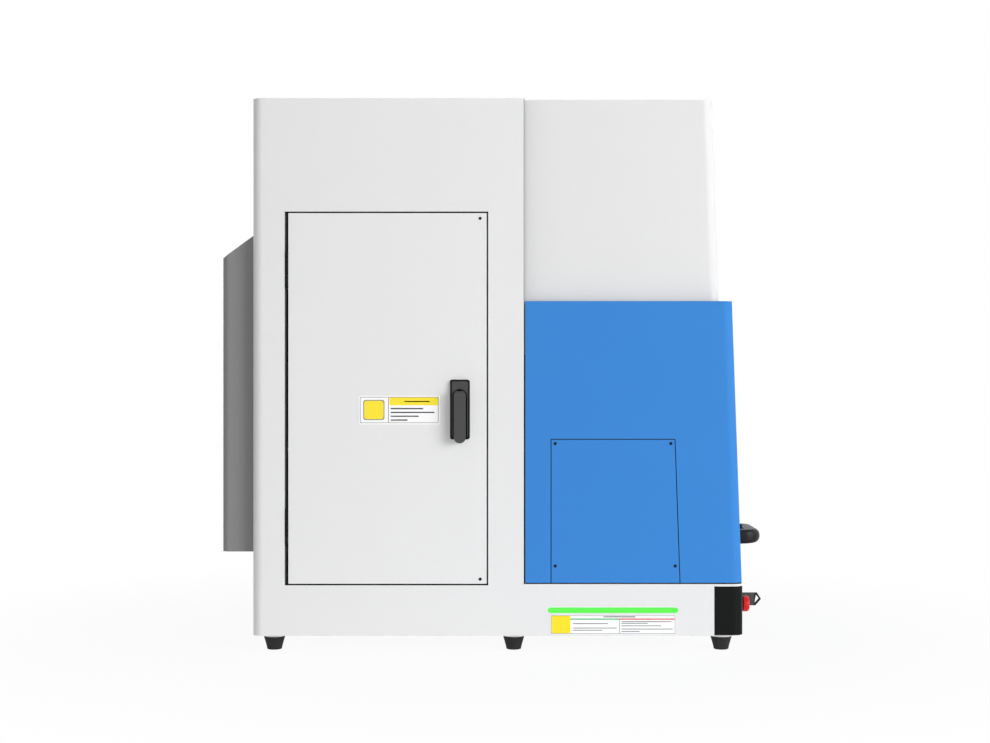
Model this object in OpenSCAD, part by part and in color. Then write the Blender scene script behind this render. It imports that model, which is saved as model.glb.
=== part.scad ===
// Enclosed fiber laser marking machine with a sliding hood.
// The x axis runs across the machine, -y points to the operator and +z points up.
// The origin is at floor level, half way across and half way along the base.
// All lengths are in millimetres and all angles in degrees.

/* [Body] */
// Width over the two side panels
body_w = 570; // [540:1:640]
// Depth of the base, from the control panel's face to the rear face
base_d = 787; // [770:1:830]
// Depth of the tall rear cabinet
cab_d = 435; // [428:1:460]
// Height of the roof above the floor
top_z = 891; // [880:1:940]
// Height of the base deck above the floor
deck_z = 113; // [112:1:125]
// Thickness of the folded steel sheet
sheet_t = 2; // [1.5:0.1:2.5]
// Outside radius of the folded vertical corners
corner_r = 16; // [14:1:20]
// Width of the inward fixing flanges
flange_w = 18; // [14:1:22]
// Width of the side panels' return on the rear face
rear_return = 40; // [34:1:48]
// Height of the base tray's upturned rim
tray_rim = 20; // [12:1:22]
// Height of the deck's rim above the control panel
deck_lip = 4; // [3:0.5:6]
// How far the control panel wraps round the base's sides
panel_wrap = 47; // [40:1:60]
// Backward lean of the hood's and the housing's fronts
lean = 2; // [0.5:0.5:2.5]

/* [Feet] */
// Height of the base tray above the floor
foot_h = 30; // [26:1:36]
// Height of each foot's neck, from its cone up to the base tray
foot_neck_h = 8.5; // [6:0.5:12]
// Radius of that neck
foot_neck_r = 10; // [9.5:0.5:12]
// Radius of a foot's cone at its top
foot_top_r = 17; // [15:0.5:20]
// Radius of a foot at the floor
foot_bottom_r = 12; // [11:0.5:14]
// Distance of the feet from the sides
foot_side_inset = 60; // [50:1:80]
// Distance of the end feet from the front and rear faces
foot_end_inset = 28.5; // [24:0.5:40]
// Distance of the middle feet behind the cabinet's front
foot_mid_inset = 15.5; // [10:0.5:40]
// Radius of the foot bolts' shanks
foot_bolt_r = 4; // [3:0.5:5]

/* [Hood] */
// Height of the sliding hood
hood_h = 451; // [440:1:470]
// Gap below the hood
hood_gap = 2; // [1.5:0.5:4]
// Gap between the hood and the cabinet
hood_rear_gap = 2.4; // [1.5:0.1:4]
// Width of the hood's inward lips
hood_lip = 12; // [8:0.5:14]
// Setback of the hood's foot from the control panel's face
hood_setback = 1; // [0:0.5:6]
// Width of the window opening
window_w = 300; // [200:5:360]
// Height of the window opening
window_h = 180; // [120:5:200]
// Height of the window opening above the hood's lower edge
window_rise = 190; // [170:5:220]
// Corner radius of the window opening
window_r = 12; // [8:1:20]
// Thickness of the window pane
pane_t = 3; // [2:0.5:4]
// Width of the window's rubber seal
seal_w = 6; // [4:0.5:8]

/* [Service panel] */
// Width of the service panel at its top
service_w = 197; // [150:1:210]
// Height of the service panel
service_h = 229; // [180:1:260]
// Distance of the service panel from the hood's rear edge
service_setback = 42; // [40:1:60]
// Gap round the service panel
service_gap = 1.5; // [1:0.1:2.5]
// Width of the strip that backs the service panel's edges
service_lap = 12; // [10:0.5:16]
// Thickness of that backing strip
backing_t = 1.5; // [1:0.1:1.6]
// Distance of the panel's screws from its edges
service_screw_inset = 6; // [5:0.5:8]
// Height of the lower screws above the hood's lower edge
service_screw_rise = 27; // [15:1:40]

/* [Screws] */
// Radius of the panel and door screws' heads
screw_head_r = 2.5; // [2:0.1:3]
// Height of those heads
screw_head_h = 1.2; // [0.8:0.1:1.6]
// Radius of their shanks
screw_r = 1.5; // [1:0.1:1.6]
// Length of their shanks
screw_l = 6; // [5:0.5:10]

/* [Handle] */
// Overall length of the hood's handle
handle_l = 132; // [110:1:200]
// Reach of the handle from the hood
handle_reach = 65.5; // [50:0.5:70]
// Radius of the grip bar, which is also half the height of the handle's legs
grip_r = 12; // [9:0.5:13]
// Width of each leg
handle_leg = 24; // [18:1:30]
// Height of the handle's middle above the hood's lower edge
handle_rise = 52; // [45:1:80]

/* [Upper housing] */
// Gap between the hood's outside and the housing's outside
housing_gap = 19; // [18.5:0.5:24]
// Depth by which the housing reaches down into the hood
housing_overlap = 86; // [70:1:88]

/* [Hood drive] */
// Travel of the hood
hood_travel = 300; // [250:5:300]
// Distance of the hood guides from the middle
guide_x = 230; // [215:1:234]
// Width of a guide rail
guide_w = 12; // [10:1:15]
// Depth of a guide rail
guide_d = 10; // [8:1:12]
// Height of a carriage on its guide
carriage_h = 54; // [45:1:60]
// Wall round the rail in a carriage
carriage_wall = 9; // [7:1:10]
// Radius of a gas strut's cylinder
strut_r = 6; // [5.5:0.1:6]
// Radius of a gas strut's rod
strut_rod_r = 3; // [2.5:0.1:3.5]
// Wall of a gas strut's cylinder
strut_wall = 1; // [0.8:0.1:1.2]
// Distance of the struts in front of the cabinet
strut_y = 110; // [100:1:125]

/* [Cabinet door] */
// Width of the door's opening
door_w = 325.7; // [300:0.1:330]
// Height of the door's opening
door_h = 598.4; // [560:0.1:610]
// Height of the opening's lower edge above the floor
door_z = 111; // [100:1:120]
// Distance of the opening from the rear face
door_rear = 52.3; // [48:0.1:60]
// Gap round the closed door
door_gap = 2.5; // [1.5:0.1:3]
// Gap on the door's hinge side
hinge_gap = 5.8; // [5.4:0.1:6.4]
// Depth of the door's folded edge
door_fold = 15; // [10:1:16]
// Depth of the opening's inward rim
reveal = 20; // [18:1:24]
// Distance of the door's screws from its latch edge
door_screw_inset = 10.4; // [8:0.1:14]
// Length of each hinge
hinge_l = 60; // [45:1:80]
// Distance of the hinges from the door's ends
hinge_end = 60; // [40:1:90]
// Radius of the hinge knuckles
knuckle_r = 2.3; // [2.1:0.1:2.3]
// Radius of the hinge pins
hinge_pin_r = 1.3; // [1:0.1:1.4]
// Thickness of the hinge leaves
leaf_t = 1.2; // [1:0.1:1.3]

/* [Latch] */
// Width of the latch housing
latch_w = 31.7; // [28:0.1:36]
// Height of the latch housing
latch_h = 95.7; // [80:0.1:100]
// Thickness of the latch housing
latch_t = 8; // [6:0.5:10]
// Distance of the latch's middle from the door's edge
latch_inset = 42.7; // [36:0.1:50]
// Height of the latch housing's middle above the floor
latch_mid_z = 392.5; // [360:0.5:430]
// Height of the latch spindle above the housing's middle
spindle_rise = 25; // [20:0.5:28]
// Radius of the latch spindle
spindle_r = 7; // [6.5:0.1:8]
// Radius of the latch housing's barrel
barrel_r = 10; // [9.5:0.1:12]
// Length of the lever below the spindle
lever_l = 78.5; // [70:0.5:82]
// Width of the lever
lever_w = 19.2; // [16:0.1:22]
// Thickness of the lever
lever_t = 13; // [12:0.5:15]
// Reach of the latch cam from the spindle
cam_l = 58; // [54:1:64]
// Width of the latch cam
cam_w = 16; // [12:1:18]
// Thickness of the latch cam
cam_t = 4; // [3:0.5:5]

/* [Controls] */
// Distance of the emergency stop from the middle
estop_x = 165; // [150:1:200]
// Distance of the key switch from the middle
key_x = 105; // [90:1:120]
// Height of the controls above the floor
controls_z = 66; // [62:1:70]
// Radius of the emergency stop's button
estop_r = 13.2; // [11:0.1:15]
// Reach of the emergency stop from the control panel
estop_reach = 26; // [25:1:32]
// Thickness of the emergency stop's button
estop_t = 11; // [10:1:13]
// Travel of the emergency stop
estop_travel = 4; // [3:0.5:5]
// Radius of the emergency stop's stem
estop_stem_r = 5; // [4:0.5:6]
// Radius of the key switch's collar
key_collar_r = 10; // [9:0.5:12]
// Radius of the key switch's turning core
key_core_r = 5.5; // [5:0.5:6.5]
// Height of the key's bow
key_h = 22; // [18:1:26]
// Reach of the key from the control panel
key_reach = 55; // [48:0.5:58]
// Thickness of the key
key_t = 2.4; // [2:0.1:3]

/* [Status light] */
// Length of the status light
light_l = 209.6; // [160:0.1:220]
// Height of the status light
light_h = 9; // [7:0.5:12]
// Height of the status light above the floor
light_z = 71; // [66:1:76]
// Distance of the status light from the cabinet's front
light_setback = 38; // [30:1:50]

/* [Rear] */
// Width of the rear vent cover
cover_w = 510; // [500:1:512]
// Depth of the rear vent cover
cover_d = 50.5; // [40:0.5:60]
// Height of the cover's open lower edge above the floor
cover_z0 = 162; // [150:1:200]
// Height of the cover's upper edge at the cabinet
cover_z1 = 673; // [640:1:700]
// Fall of the cover's sloping top
cover_fall = 37; // [20:1:50]
// Corner radius of the vent cover
cover_r = 12; // [8:1:16]
// Gap between the vent cover and the cabinet
cover_gap = 2; // [1:0.5:3]
// Width of a fan's square frame
fan_w = 120; // [110:1:124]
// Depth of a fan's frame
fan_d = 38; // [32:1:40]
// Distance of the fans from the middle
fan_x = 110; // [90:1:125]
// Height of the fans above the floor
fan_z = 530; // [520:1:550]
// Radius of a fan's hub
fan_hub_r = 20; // [16:1:24]
// Width of the connector box
box_w = 120; // [100:1:130]
// Height of the connector box
box_h = 65; // [55:1:70]
// Height of the connector box's lower edge above the floor
box_z = 54; // [53:1:60]
// Distance of the connector box's middle from the side
box_inset = 120; // [110:1:125]
// Depth of the connector box
box_d = 8; // [6:1:12]

/* [Head drive] */
// Width of the upright column
column_w = 140; // [130:1:150]
// Depth of the column
column_d = 35; // [28:1:38]
// Height of the column
column_h = 700; // [690:1:704]
// Wall of the hollow column
column_wall = 5; // [4:0.5:8]
// Distance of the linear rails from the middle
rail_x = 48; // [44:1:52]
// Size of a linear rail's square section
rail_s = 12; // [10:1:12]
// Height of the head's rest position above the deck
head_rise = 345; // [335:1:360]
// Upward travel of the head
head_up = 200; // [150:5:210]
// Downward travel of the head
head_down = 80; // [50:5:90]
// Radius of the lead screw
screw_drive_r = 5; // [4:0.5:5.5]
// Width of the head's carriage plate
plate_w = 130; // [124:1:140]
// Height of the head's carriage plate
plate_h = 110; // [90:1:120]
// Thickness of the head's carriage plate
plate_t = 10; // [8:1:12]
// Width and height of the drive motor
motor_w = 56; // [42:1:57]

/* [Scan head] */
// Distance of the marking field's middle in front of the cabinet
field_y = 203; // [195:1:215]
// Width of the scan head
scan_w = 120; // [110:1:130]
// Depth of the scan head
scan_d = 110; // [100:1:115]
// Height of the scan head
scan_h = 110; // [100:1:120]
// Wall of the scan head's casing
scan_wall = 8; // [6:1:10]
// Radius of the scan lens
lens_r = 40; // [34:1:44]
// Height of the scan lens
lens_h = 25; // [20:1:35]
// Sideways offset of the incoming beam
beam_x = 24; // [23:0.5:27]
// Size of the beam tube's square section
tube_s = 56; // [50:1:60]
// Width of the first mirror
mirror_w = 16; // [12:1:16]
// Width of the second mirror
mirror_long_w = 22; // [18:1:22]
// Radius of the mirror shafts
shaft_r = 3; // [2:0.5:4]

/* [Worktable] */
// Width of the worktable
table_w = 300; // [280:1:340]
// Depth of the worktable
table_d = 200; // [190:1:230]
// Thickness of the worktable
table_t = 15; // [10:1:18]
// Pitch of the tapped holes
table_pitch = 50; // [40:1:55]
// Holes across the worktable
table_nx = 6; // [4:1:6]
// Holes along the worktable
table_ny = 4; // [3:1:4]
// Core radius of the tapped holes
tap_r = 2.5; // [2:0.1:3.4]

/* [Electrical] */
// Height of the equipment shelf above the floor
shelf_z = 330; // [300:1:345]
// Width of the laser source
source_w = 250; // [220:1:280]
// Depth of the laser source
source_d = 300; // [280:1:320]
// Height of the laser source
source_h = 120; // [100:1:130]
// Radius of the delivery fiber's armour
fiber_r = 3; // [2:0.5:4]

/* [Hidden] */
$fn = 64;

// Clearances
run_fit = 0.05;     // radial clearance of a shaft that turns or slides in its bore
clear = 0.3;        // clearance between pieces that slide past each other
cut = 1;            // how far a cutting shape runs past what it cuts

// Main planes
side_x = body_w / 2;
inner_x = side_x - sheet_t;
y_rear = base_d / 2;
y_front = -base_d / 2;
y_cab = y_rear - cab_d;
y_wall = y_rear - 2 * sheet_t;
y_wrap = y_front + panel_wrap;
floor_z = foot_h;
tray_top = floor_z + sheet_t;
foot_edge = 1.5;            // chamfer of the feet's edges
foot_seat_h = 8;            // depth of the pocket under a foot for its bolt's head
foot_seat_r = foot_bolt_r + 4;
bolt_head_r = foot_bolt_r + 3;
bolt_head_h = 6;
bolt_spare = 10;            // how far the bolts stand out above the tray

// Hood and housing
hood_z0 = deck_z + hood_gap;
hood_z1 = hood_z0 + hood_h;
hood_y0 = y_front + hood_setback;
hood_rear = y_cab - hood_rear_gap;
housing_z0 = hood_z1 - housing_overlap;
housing_x = side_x - housing_gap;
lean_spare = 60;
service_y1 = hood_rear - service_setback;
service_z1 = hood_z0 + service_h;
function service_y0(z) = service_y1 - service_w - (service_z1 - z) * tan(lean);
window_z = window_rise + window_h / 2;
strut_x = (housing_x + inner_x) / 2;
strut_foot = 12;            // height of a strut's foot on the deck
strut_eye = 12;             // height of the bracket on a strut's rod
strut_eye_d = 12;           // depth of that bracket
strut_l = hood_travel + 45; // length of a strut's cylinder
strut_end = 2;              // thickness of a cylinder's closed end
strut_gland = 6;            // thickness of a cylinder's rod gland
piston_h = 8;
piston_rise = 10;           // height of the resting piston above the cylinder's foot
guide_stop = 5;             // height of the rubber stop below a carriage
carriage_z = deck_z + guide_stop;
guide_z1 = carriage_z + carriage_h + hood_travel + guide_stop;
carriage_bracket_t = 4;     // thickness of the bracket beside a carriage
carriage_foot_t = 3;        // thickness of the bracket's foot on the hood
carriage_foot_d = 10;       // depth by which that foot stands out
carriage_w = guide_w + 2 * carriage_wall;
carriage_y = y_cab - guide_d - carriage_wall;

lamp_size = [120, 14, 22];
lamp_rise = 14;             // height of the light bars above the housing's lower edge
lamp_gap = 20;              // distance of the light bars from the scan head's path

// Door, hinges and latch
open_y1 = y_rear - door_rear;
open_y0 = open_y1 - door_w;
open_z1 = door_z + door_h;
leaf_y0 = open_y0 + door_gap;
leaf_y1 = open_y1 - hinge_gap;
leaf_z0 = door_z + door_gap;
leaf_z1 = open_z1 - door_gap;
hinge_y = open_y1 - hinge_gap / 2;
hinge_zs = [leaf_z0 + hinge_end, leaf_z1 - hinge_end - hinge_l];
hinge_reach = door_fold - 2;
knuckle_l = hinge_l / 3;
latch_y = leaf_y0 + latch_inset;
latch_z = latch_mid_z + spindle_rise;
latch_face = -side_x - latch_t;
lever_x = latch_face - clear - lever_t / 2;
cam_x = -side_x + reveal + clear;
lug_r = 4.2;
lug_w = 8;
lever_pin_r = 2;

// Controls
collar_t = 6;
estop_bush_r = estop_stem_r + 3;
estop_stem_l = 20;   // length of the emergency stop's stem behind the panel's face
estop_block = 28;    // size of its contact block
estop_block_d = 34;
estop_taper = 1.5;   // taper of the button towards its face
estop_taper_l = 4;
key_barrel_r = key_core_r + 2;
key_core_l = 25;
key_neck = 4;        // half the height of the key's neck
key_neck_l = 12;
key_point = 7;       // how far the upper and lower corners lie behind the tip
key_chin = 9.7;
key_wall = 3.9;      // wall at the tip, above and below the hole, and how far behind
key_rim = 4.5;       // those corners the hole ends
key_setback = 1.6;
light_flange = 4;    // thickness and overlap of the flange behind the status light
panel_z0 = floor_z + 1;
estop_y = y_front - estop_reach;
key_y = y_front - key_reach;

// Rear
cover_y0 = y_rear + cover_gap;
cover_y1 = cover_y0 + cover_d;
cover_post_r = 4;    // spacers between the cover's flanges and the cabinet
cover_post_side = 5;
cover_post_end = 40;
fan_r = fan_w / 2 - 3;
fan_tip = 2;         // gap round a rotor's blades
fan_post_r = 4;
fan_bar = 4;         // thickness and width of the bars that carry the fan's motor
fan_bar_w = 6;
rotor_z0 = fan_bar + 1;
rotor_h = fan_d - fan_bar - 8;
blades = 7;
blade_t = 2;
blade_pitch = 35;
guard_r0 = 15;       // radius of the guard's first ring and distance to the next
guard_step = 13;
guard_wire = 2;
guard_t = 3;
guard_ear = 12;      // length of a guard's ears beyond the fan's opening
box_x = side_x - box_inset;
inlet_w = 50;
inlet_h = 52;
inlet_d = 28;
inlet_flange = 2;
inlet_lap = 4;       // overlap of the inlet's flange round its opening
inlet_z = box_z + box_h / 2;
inlet_y = y_rear - sheet_t + box_d;
socket_w = 25;
socket_h = 17;
socket_r = 2;
socket_d = 16;
socket_z = inlet_z - 11;
rocker_r = 8;
rocker_w = 18;
rocker_flat = 1.2;   // depth of the two flats that make the rocker's blunt ridge
rocker_tilt = 25;    // tilt of the ridge at rest
rocker_half = 13;    // angle of each flat to the ridge
rocker_y = inlet_y - rocker_r + 2;
rocker_z = inlet_z + 14;

// Head drive
head_z = deck_z + head_rise;
column_y = y_cab - column_d;
column_z1 = deck_z + column_h;
rail_y = column_y - rail_s;
rail_spare = 80;     // rail left beyond the carriage at each end of its travel
rail_z0 = head_z - head_down - plate_h / 2 - rail_spare;
rail_z1 = head_z + head_up + plate_h / 2 + rail_spare;
screw_gap = 14;      // distance of the lead screw's axis from the column
screw_y = column_y - screw_gap;
plate_y = rail_y - 10;
motor_plate_t = 12;
motor_plate_lap = 4; // how far the motor's plate stands out beside the motor
bearing_w = 40;
bearing_h = 18;
bearing_seat = 4;    // thickness of the bearing block's floor
bearing_z = deck_z + 95;
block_w = 30;        // width, length and inset of the blocks that run on the rails
block_l = 40;
block_inset = 4;
nut_w = 30;
nut_h = 32;

// Head
mark_y = y_cab - field_y;
scan_y0 = mark_y - scan_d / 2;
scan_y1 = mark_y + scan_d / 2;
scan_z0 = head_z - scan_h / 2;
scan_z1 = head_z + scan_h / 2;
arm_t = 12;
arm_w = 70;
motor_can_r = 12;
motor_can_h = 20;
port_y = scan_y1 + 40;
port_h = 20;
port_r = 8;
beam_r = 9;          // radius of the beam's way through the tube and the casing
mirror_t = 3;
mirror_drop = 12;    // reach of the first mirror below and above the beam
mirror_rise = 16;
shaft_lap = 2;       // length of the mirror shafts that grips the mirrors
shaft_end = 6;       // distance of the shafts' ends from the motors' ends
tube_gap = 6;        // gap between the beam tube and the carriage plate
lens_seat = 8;       // width of the lens's ring round its glass
lens_glass = 4;      // depth of the glass inside that ring

// Equipment
shelf_inset = 34;    // distance of the shelf's ends from the side panels' outside
shelf_foot = 22;     // width of the shelf's feet on the side panels' flanges
source_x = 40;
source_back = 215;   // distances of the equipment's middles behind the cabinet's front
unit_back = 220;
supply_back = 220;
source_y = y_cab + source_back;
fins = 12;           // grooves in the laser source's top: count, width, depth and margins
fin_gap = 8;
fin_d = 14;
fin_start = 40;
fin_end = 10;
unit_at = [-145, y_cab + unit_back];
unit_size = [190, 250, 80];
unit_slots = 9;
unit_slot = [7, 180, 2];
supply_at = [110, y_cab + supply_back];
supply_size = [110, 200, 50];
supply_slots = 6;
supply_slot = [2, 12, 26];
din_inset = 135;     // distance of the breakers' middle from the left side's outside
din_at = [-side_x + din_inset, 560];
din_l = 160;
din_w = 35;
din_d = 7.5;
din_t = 1.5;
breakers = 4;
breaker_pitch = 27;
breaker_size = [18, 62.5, 80];
fiber_hole_r = 8;

// Route of the delivery fiber, from the beam tube over the bulkhead to the laser source
fiber_route = [[-beam_x, port_y, head_z + tube_s / 2 + port_h],
    [-24, -150, 560], [-26, -150, 620], [-34, -152, 680], [-55, -146, 730], [-82, -122, 762],
    [-100, -90, 775], [-108, -60, 778], [-108, -20, 776], [-106, 10, 764], [-98, 30, 735],
    [-88, 42, 690], [-80, 50, 630], [-74, 56, 560], [-70, 60, 500],
    [-70, 60, shelf_z + source_h + port_h]];

// A box between two x, two y and two z values
module box(x, y, z) {
    translate([x[0], y[0], z[0]]) cube([x[1] - x[0], y[1] - y[0], z[1] - z[0]]);
}

// The child and its mirror image on the other side of the machine
module both_sides() {
    children();
    mirror([1, 0, 0]) children();
}

// An outline in y and z, extruded along x
module along_x(x0, x1) {
    translate([x0, 0, 0]) rotate([90, 0, 90]) linear_extrude(x1 - x0) children();
}

// An outline in x and z, extruded along y
module along_y(y0, y1) {
    translate([0, y1, 0]) rotate([90, 0, 0]) linear_extrude(y1 - y0) children();
}

// A round bar along x, along y
module bar_x(r, x0, x1) {
    translate([x0, 0, 0]) rotate([0, 90, 0]) cylinder(r = r, h = x1 - x0);
}

module bar_y(r, y0, y1) {
    translate([0, y1, 0]) rotate([90, 0, 0]) cylinder(r = r, h = y1 - y0);
}

// A centred rectangle with round corners
module rounded(w, h, r) {
    square([w - 2 * r, h], center = true);
    square([w, h - 2 * r], center = true);
    for (x = [-1, 1], y = [-1, 1])
        translate([x * (w / 2 - r), y * (h / 2 - r)]) circle(r);
}

// A slot outline with round ends, centred, running along its first axis
module slot_outline(l, h) {
    square([l - h, h], center = true);
    for (s = [-1, 1]) translate([s * (l - h) / 2, 0]) circle(h / 2);
}

// A plan with round front corners: its front edge at y = 0, its sides running back
module front_round(half_w, r, l) {
    translate([-half_w, r]) square([2 * half_w, l - r]);
    translate([-half_w + r, 0]) square([2 * (half_w - r), r + cut]);
    for (s = [-1, 1]) translate([s * (half_w - r), r]) circle(r);
}

// A plan with round rear corners between two y values
module rear_round(half_w, y0, y1, r) {
    translate([-half_w, y0]) square([2 * half_w, y1 - y0 - r]);
    translate([-half_w + r, y0]) square([2 * (half_w - r), y1 - y0]);
    for (s = [-1, 1]) translate([s * (half_w - r), y1 - r]) circle(r);
}

// The leaning frame of the hood's front: its origin is on the front face at the hood's foot
module leaning(setback = 0) {
    translate([0, hood_y0 + setback, hood_z0]) rotate([-lean, 0, 0]) children();
}

// A leaning body with round front corners, cut off level at two heights and square at the back
module lean_body(setback, half_w, r, z0, z1, y_back) {
    intersection() {
        leaning(setback)
            translate([0, 0, z0 - hood_z0 - lean_spare])
                linear_extrude(z1 - z0 + 2 * lean_spare) front_round(half_w, r, base_d);
        box([-half_w - cut, half_w + cut], [y_front - lean_spare, y_back], [z0, z1]);
    }
}

// A leaning wall of sheet
module lean_wall(setback, half_w, r, z0, z1, y_back) {
    difference() {
        lean_body(setback, half_w, r, z0, z1, y_back);
        lean_body(setback + sheet_t / cos(lean), half_w - sheet_t, r - sheet_t,
            z0 - cut, z1 + cut, y_back + cut);
    }
}

// Sweeps a tube of the given radius along points, with eight sides
function unit(v) = v / norm(v);
function tangent(p, i) = unit(p[min(i + 1, len(p) - 1)] - p[max(i - 1, 0)]);
function ring(c, t, r) =
    let (a = unit(cross(t, [1, 0.2, 0])), b = cross(t, a))
    [for (k = [0 : 7]) c + r * (cos(45 * k) * a + sin(45 * k) * b)];
module tube(path, r) {
    n = len(path);
    points = [for (i = [0 : n - 1]) each ring(path[i], i == 0 || i == n - 1
        ? [0, 0, i == 0 ? 1 : -1] : tangent(path, i), r)];
    walls = [for (i = [0 : n - 2], k = [0 : 7])
        [8 * i + k, 8 * i + (k + 1) % 8, 8 * (i + 1) + (k + 1) % 8, 8 * (i + 1) + k]];
    ends = [[for (k = [7 : -1 : 0]) k], [for (k = [0 : 7]) 8 * (n - 1) + k]];
    polyhedron(points, concat(walls, ends));
}

// ---- Base and cabinet ----

// Folded floor of the base, with its rim turned up inside the side panels
module base_tray() color("gainsboro") difference() {
    union() {
        translate([0, 0, floor_z]) linear_extrude(sheet_t) tray_plan(0);
        translate([0, 0, floor_z]) linear_extrude(tray_rim) difference() {
            tray_plan(0);
            tray_plan(sheet_t);
        }
    }
    at_feet() translate([0, 0, floor_z - cut])
        cylinder(r = foot_bolt_r + clear, h = sheet_t + 2 * cut);
}

module tray_plan(inset) {
    r = corner_r - sheet_t - inset;
    w = inner_x - inset;
    intersection() {
        rear_round(w, y_front, y_rear - sheet_t - inset, r);
        translate([0, y_front + sheet_t + inset]) front_round(w, r, base_d);
    }
}

module at_feet() {
    for (x = [-1, 1], y = [y_front + foot_end_inset, y_cab + foot_mid_inset,
        y_rear - foot_end_inset])
        translate([x * (side_x - foot_side_inset), y, 0]) children();
}

// Deck under the hood, with a thin rim over the control panel
module base_deck() color("gainsboro") {
    translate([0, 0, deck_z - sheet_t]) linear_extrude(sheet_t) {
        translate([0, y_front]) front_round(side_x, corner_r, panel_wrap);
        translate([-inner_x, y_wrap - cut])
            square([2 * inner_x, y_cab + 2 * sheet_t - y_wrap + cut]);
    }
    translate([0, y_front, deck_z - deck_lip]) linear_extrude(deck_lip) difference() {
        front_round(side_x, corner_r, panel_wrap);
        translate([0, sheet_t]) front_round(inner_x, corner_r - sheet_t, panel_wrap + cut);
    }
}

module side_plan() {
    translate([inner_x, y_cab]) square([sheet_t, cab_d - corner_r]);
    translate([side_x - corner_r, y_rear - corner_r]) intersection() {
        difference() {
            circle(corner_r);
            circle(corner_r - sheet_t);
        }
        square(corner_r);
    }
    translate([side_x - rear_return, y_rear - sheet_t])
        square([rear_return - corner_r, sheet_t]);
}

// One-piece side of the cabinet and the base, drawn on the +x side
module side_sheet() {
    difference() {
        union() {
            translate([0, 0, floor_z]) linear_extrude(top_z - floor_z) side_plan();
            box([inner_x, side_x], [y_wrap, y_cab + cut], [floor_z, deck_z]);
            box([inner_x - flange_w, inner_x + cut], [y_cab + sheet_t, y_cab + 2 * sheet_t],
                [deck_z, top_z - sheet_t]);
        }
        at_light() along_x(inner_x - cut, side_x + cut) slot_outline(light_l, light_h);
    }
}

module at_light() {
    translate([0, y_cab - light_setback - light_l / 2, light_z]) children();
}

module side_right() color("gainsboro") side_sheet();

// Left side: the same sheet with the door's opening and its inward rim
module side_left() color("gainsboro") {
    difference() {
        mirror([1, 0, 0]) side_sheet();
        box([-side_x - cut, -inner_x + cut], [open_y0, open_y1], [door_z, open_z1]);
    }
    difference() {
        box([-side_x, -side_x + reveal], [open_y0 - sheet_t, open_y1 + sheet_t],
            [door_z - sheet_t, open_z1 + sheet_t]);
        box([-side_x - cut, -side_x + reveal + cut], [open_y0, open_y1], [door_z, open_z1]);
    }
}

// Rear wall between the side panels' returns
module rear_wall() color("gainsboro") difference() {
    box([-side_x + corner_r, side_x - corner_r], [y_wall, y_wall + sheet_t],
        [floor_z + tray_rim, top_z - sheet_t]);
    at_fans() bar_y(fan_r, y_wall - cut, y_wall + sheet_t + cut);
    translate([-box_x, 0, 0]) inlet_cut(y_wall - cut, y_wall + sheet_t + cut);
}

module at_fans() {
    for (s = [-1, 1]) translate([s * fan_x, 0, fan_z]) children();
}

module cabinet_roof() color("gainsboro")
    translate([0, 0, top_z - sheet_t]) linear_extrude(sheet_t)
        rear_round(inner_x, y_cab, y_rear - sheet_t, corner_r - sheet_t);

// Wall between the working chamber and the cabinet
module bulkhead() color("gainsboro") difference() {
    box([-inner_x, inner_x], [y_cab, y_cab + sheet_t], [deck_z, top_z - sheet_t]);
    translate([fiber_route[7][0], 0, fiber_route[7][2]])
        bar_y(fiber_hole_r, y_cab - cut, y_cab + sheet_t + cut);
}

// Fixed housing above the hood; the hood slides up round it
module upper_housing() color("whitesmoke") {
    lean_wall(housing_gap, housing_x, corner_r, housing_z0, top_z, y_cab);
    lean_body(housing_gap, housing_x, corner_r, top_z - sheet_t, top_z, y_cab);
    both_sides() box([housing_x - flange_w, housing_x], [y_cab - sheet_t, y_cab],
        [housing_z0, top_z]);
}

// Black panel that wraps the front of the base and carries the controls
module control_panel() color("#202020") difference() {
    translate([0, y_front, panel_z0]) linear_extrude(deck_z - deck_lip - panel_z0)
        difference() {
            front_round(side_x, corner_r, panel_wrap);
            translate([0, sheet_t]) front_round(inner_x, corner_r - sheet_t, base_d);
        }
    at_estop() bar_y(estop_bush_r + clear, y_front - cut, y_front + sheet_t + cut);
    at_key() bar_y(key_barrel_r + clear, y_front - cut, y_front + sheet_t + cut);
}

module at_estop() translate([-estop_x, 0, controls_z]) children();

module at_key() translate([-key_x, 0, controls_z]) children();

// ---- Controls ----

// Collar and contact block of the emergency stop
module estop_collar() color("#303030") at_estop() difference() {
    union() {
        bar_y(estop_r - 0.5, y_front - collar_t, y_front);
        bar_y(estop_bush_r, y_front - cut, y_front + sheet_t + cut);
        box([-estop_block / 2, estop_block / 2], [y_front + sheet_t, y_front + estop_block_d],
            [-estop_block / 2, estop_block / 2]);
    }
    bar_y(estop_stem_r + run_fit, y_front - collar_t - cut,
        y_front + estop_stem_l + 2 * estop_travel);
}

module estop_button() color("red") at_estop() {
    difference() {
        bar_y(estop_r, estop_y, estop_y + estop_t);
        translate([0, estop_y, 0]) rotate([90, 0, 0]) rotate_extrude()
            polygon([[estop_r - estop_taper, 0], [estop_r - estop_taper, cut],
                [estop_r + cut, cut], [estop_r + cut, -estop_taper_l],
                [estop_r, -estop_taper_l]]);
    }
    bar_y(estop_stem_r, estop_y + estop_t - cut, y_front + estop_stem_l);
}

// Fixed barrel of the key switch
module key_lock() color("silver") at_key() difference() {
    union() {
        bar_y(key_collar_r, y_front - collar_t, y_front);
        bar_y(key_barrel_r, y_front - cut, y_front + key_core_l + 5);
    }
    bar_y(key_core_r + run_fit, y_front - collar_t - cut, y_front + key_core_l + cut);
}

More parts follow.
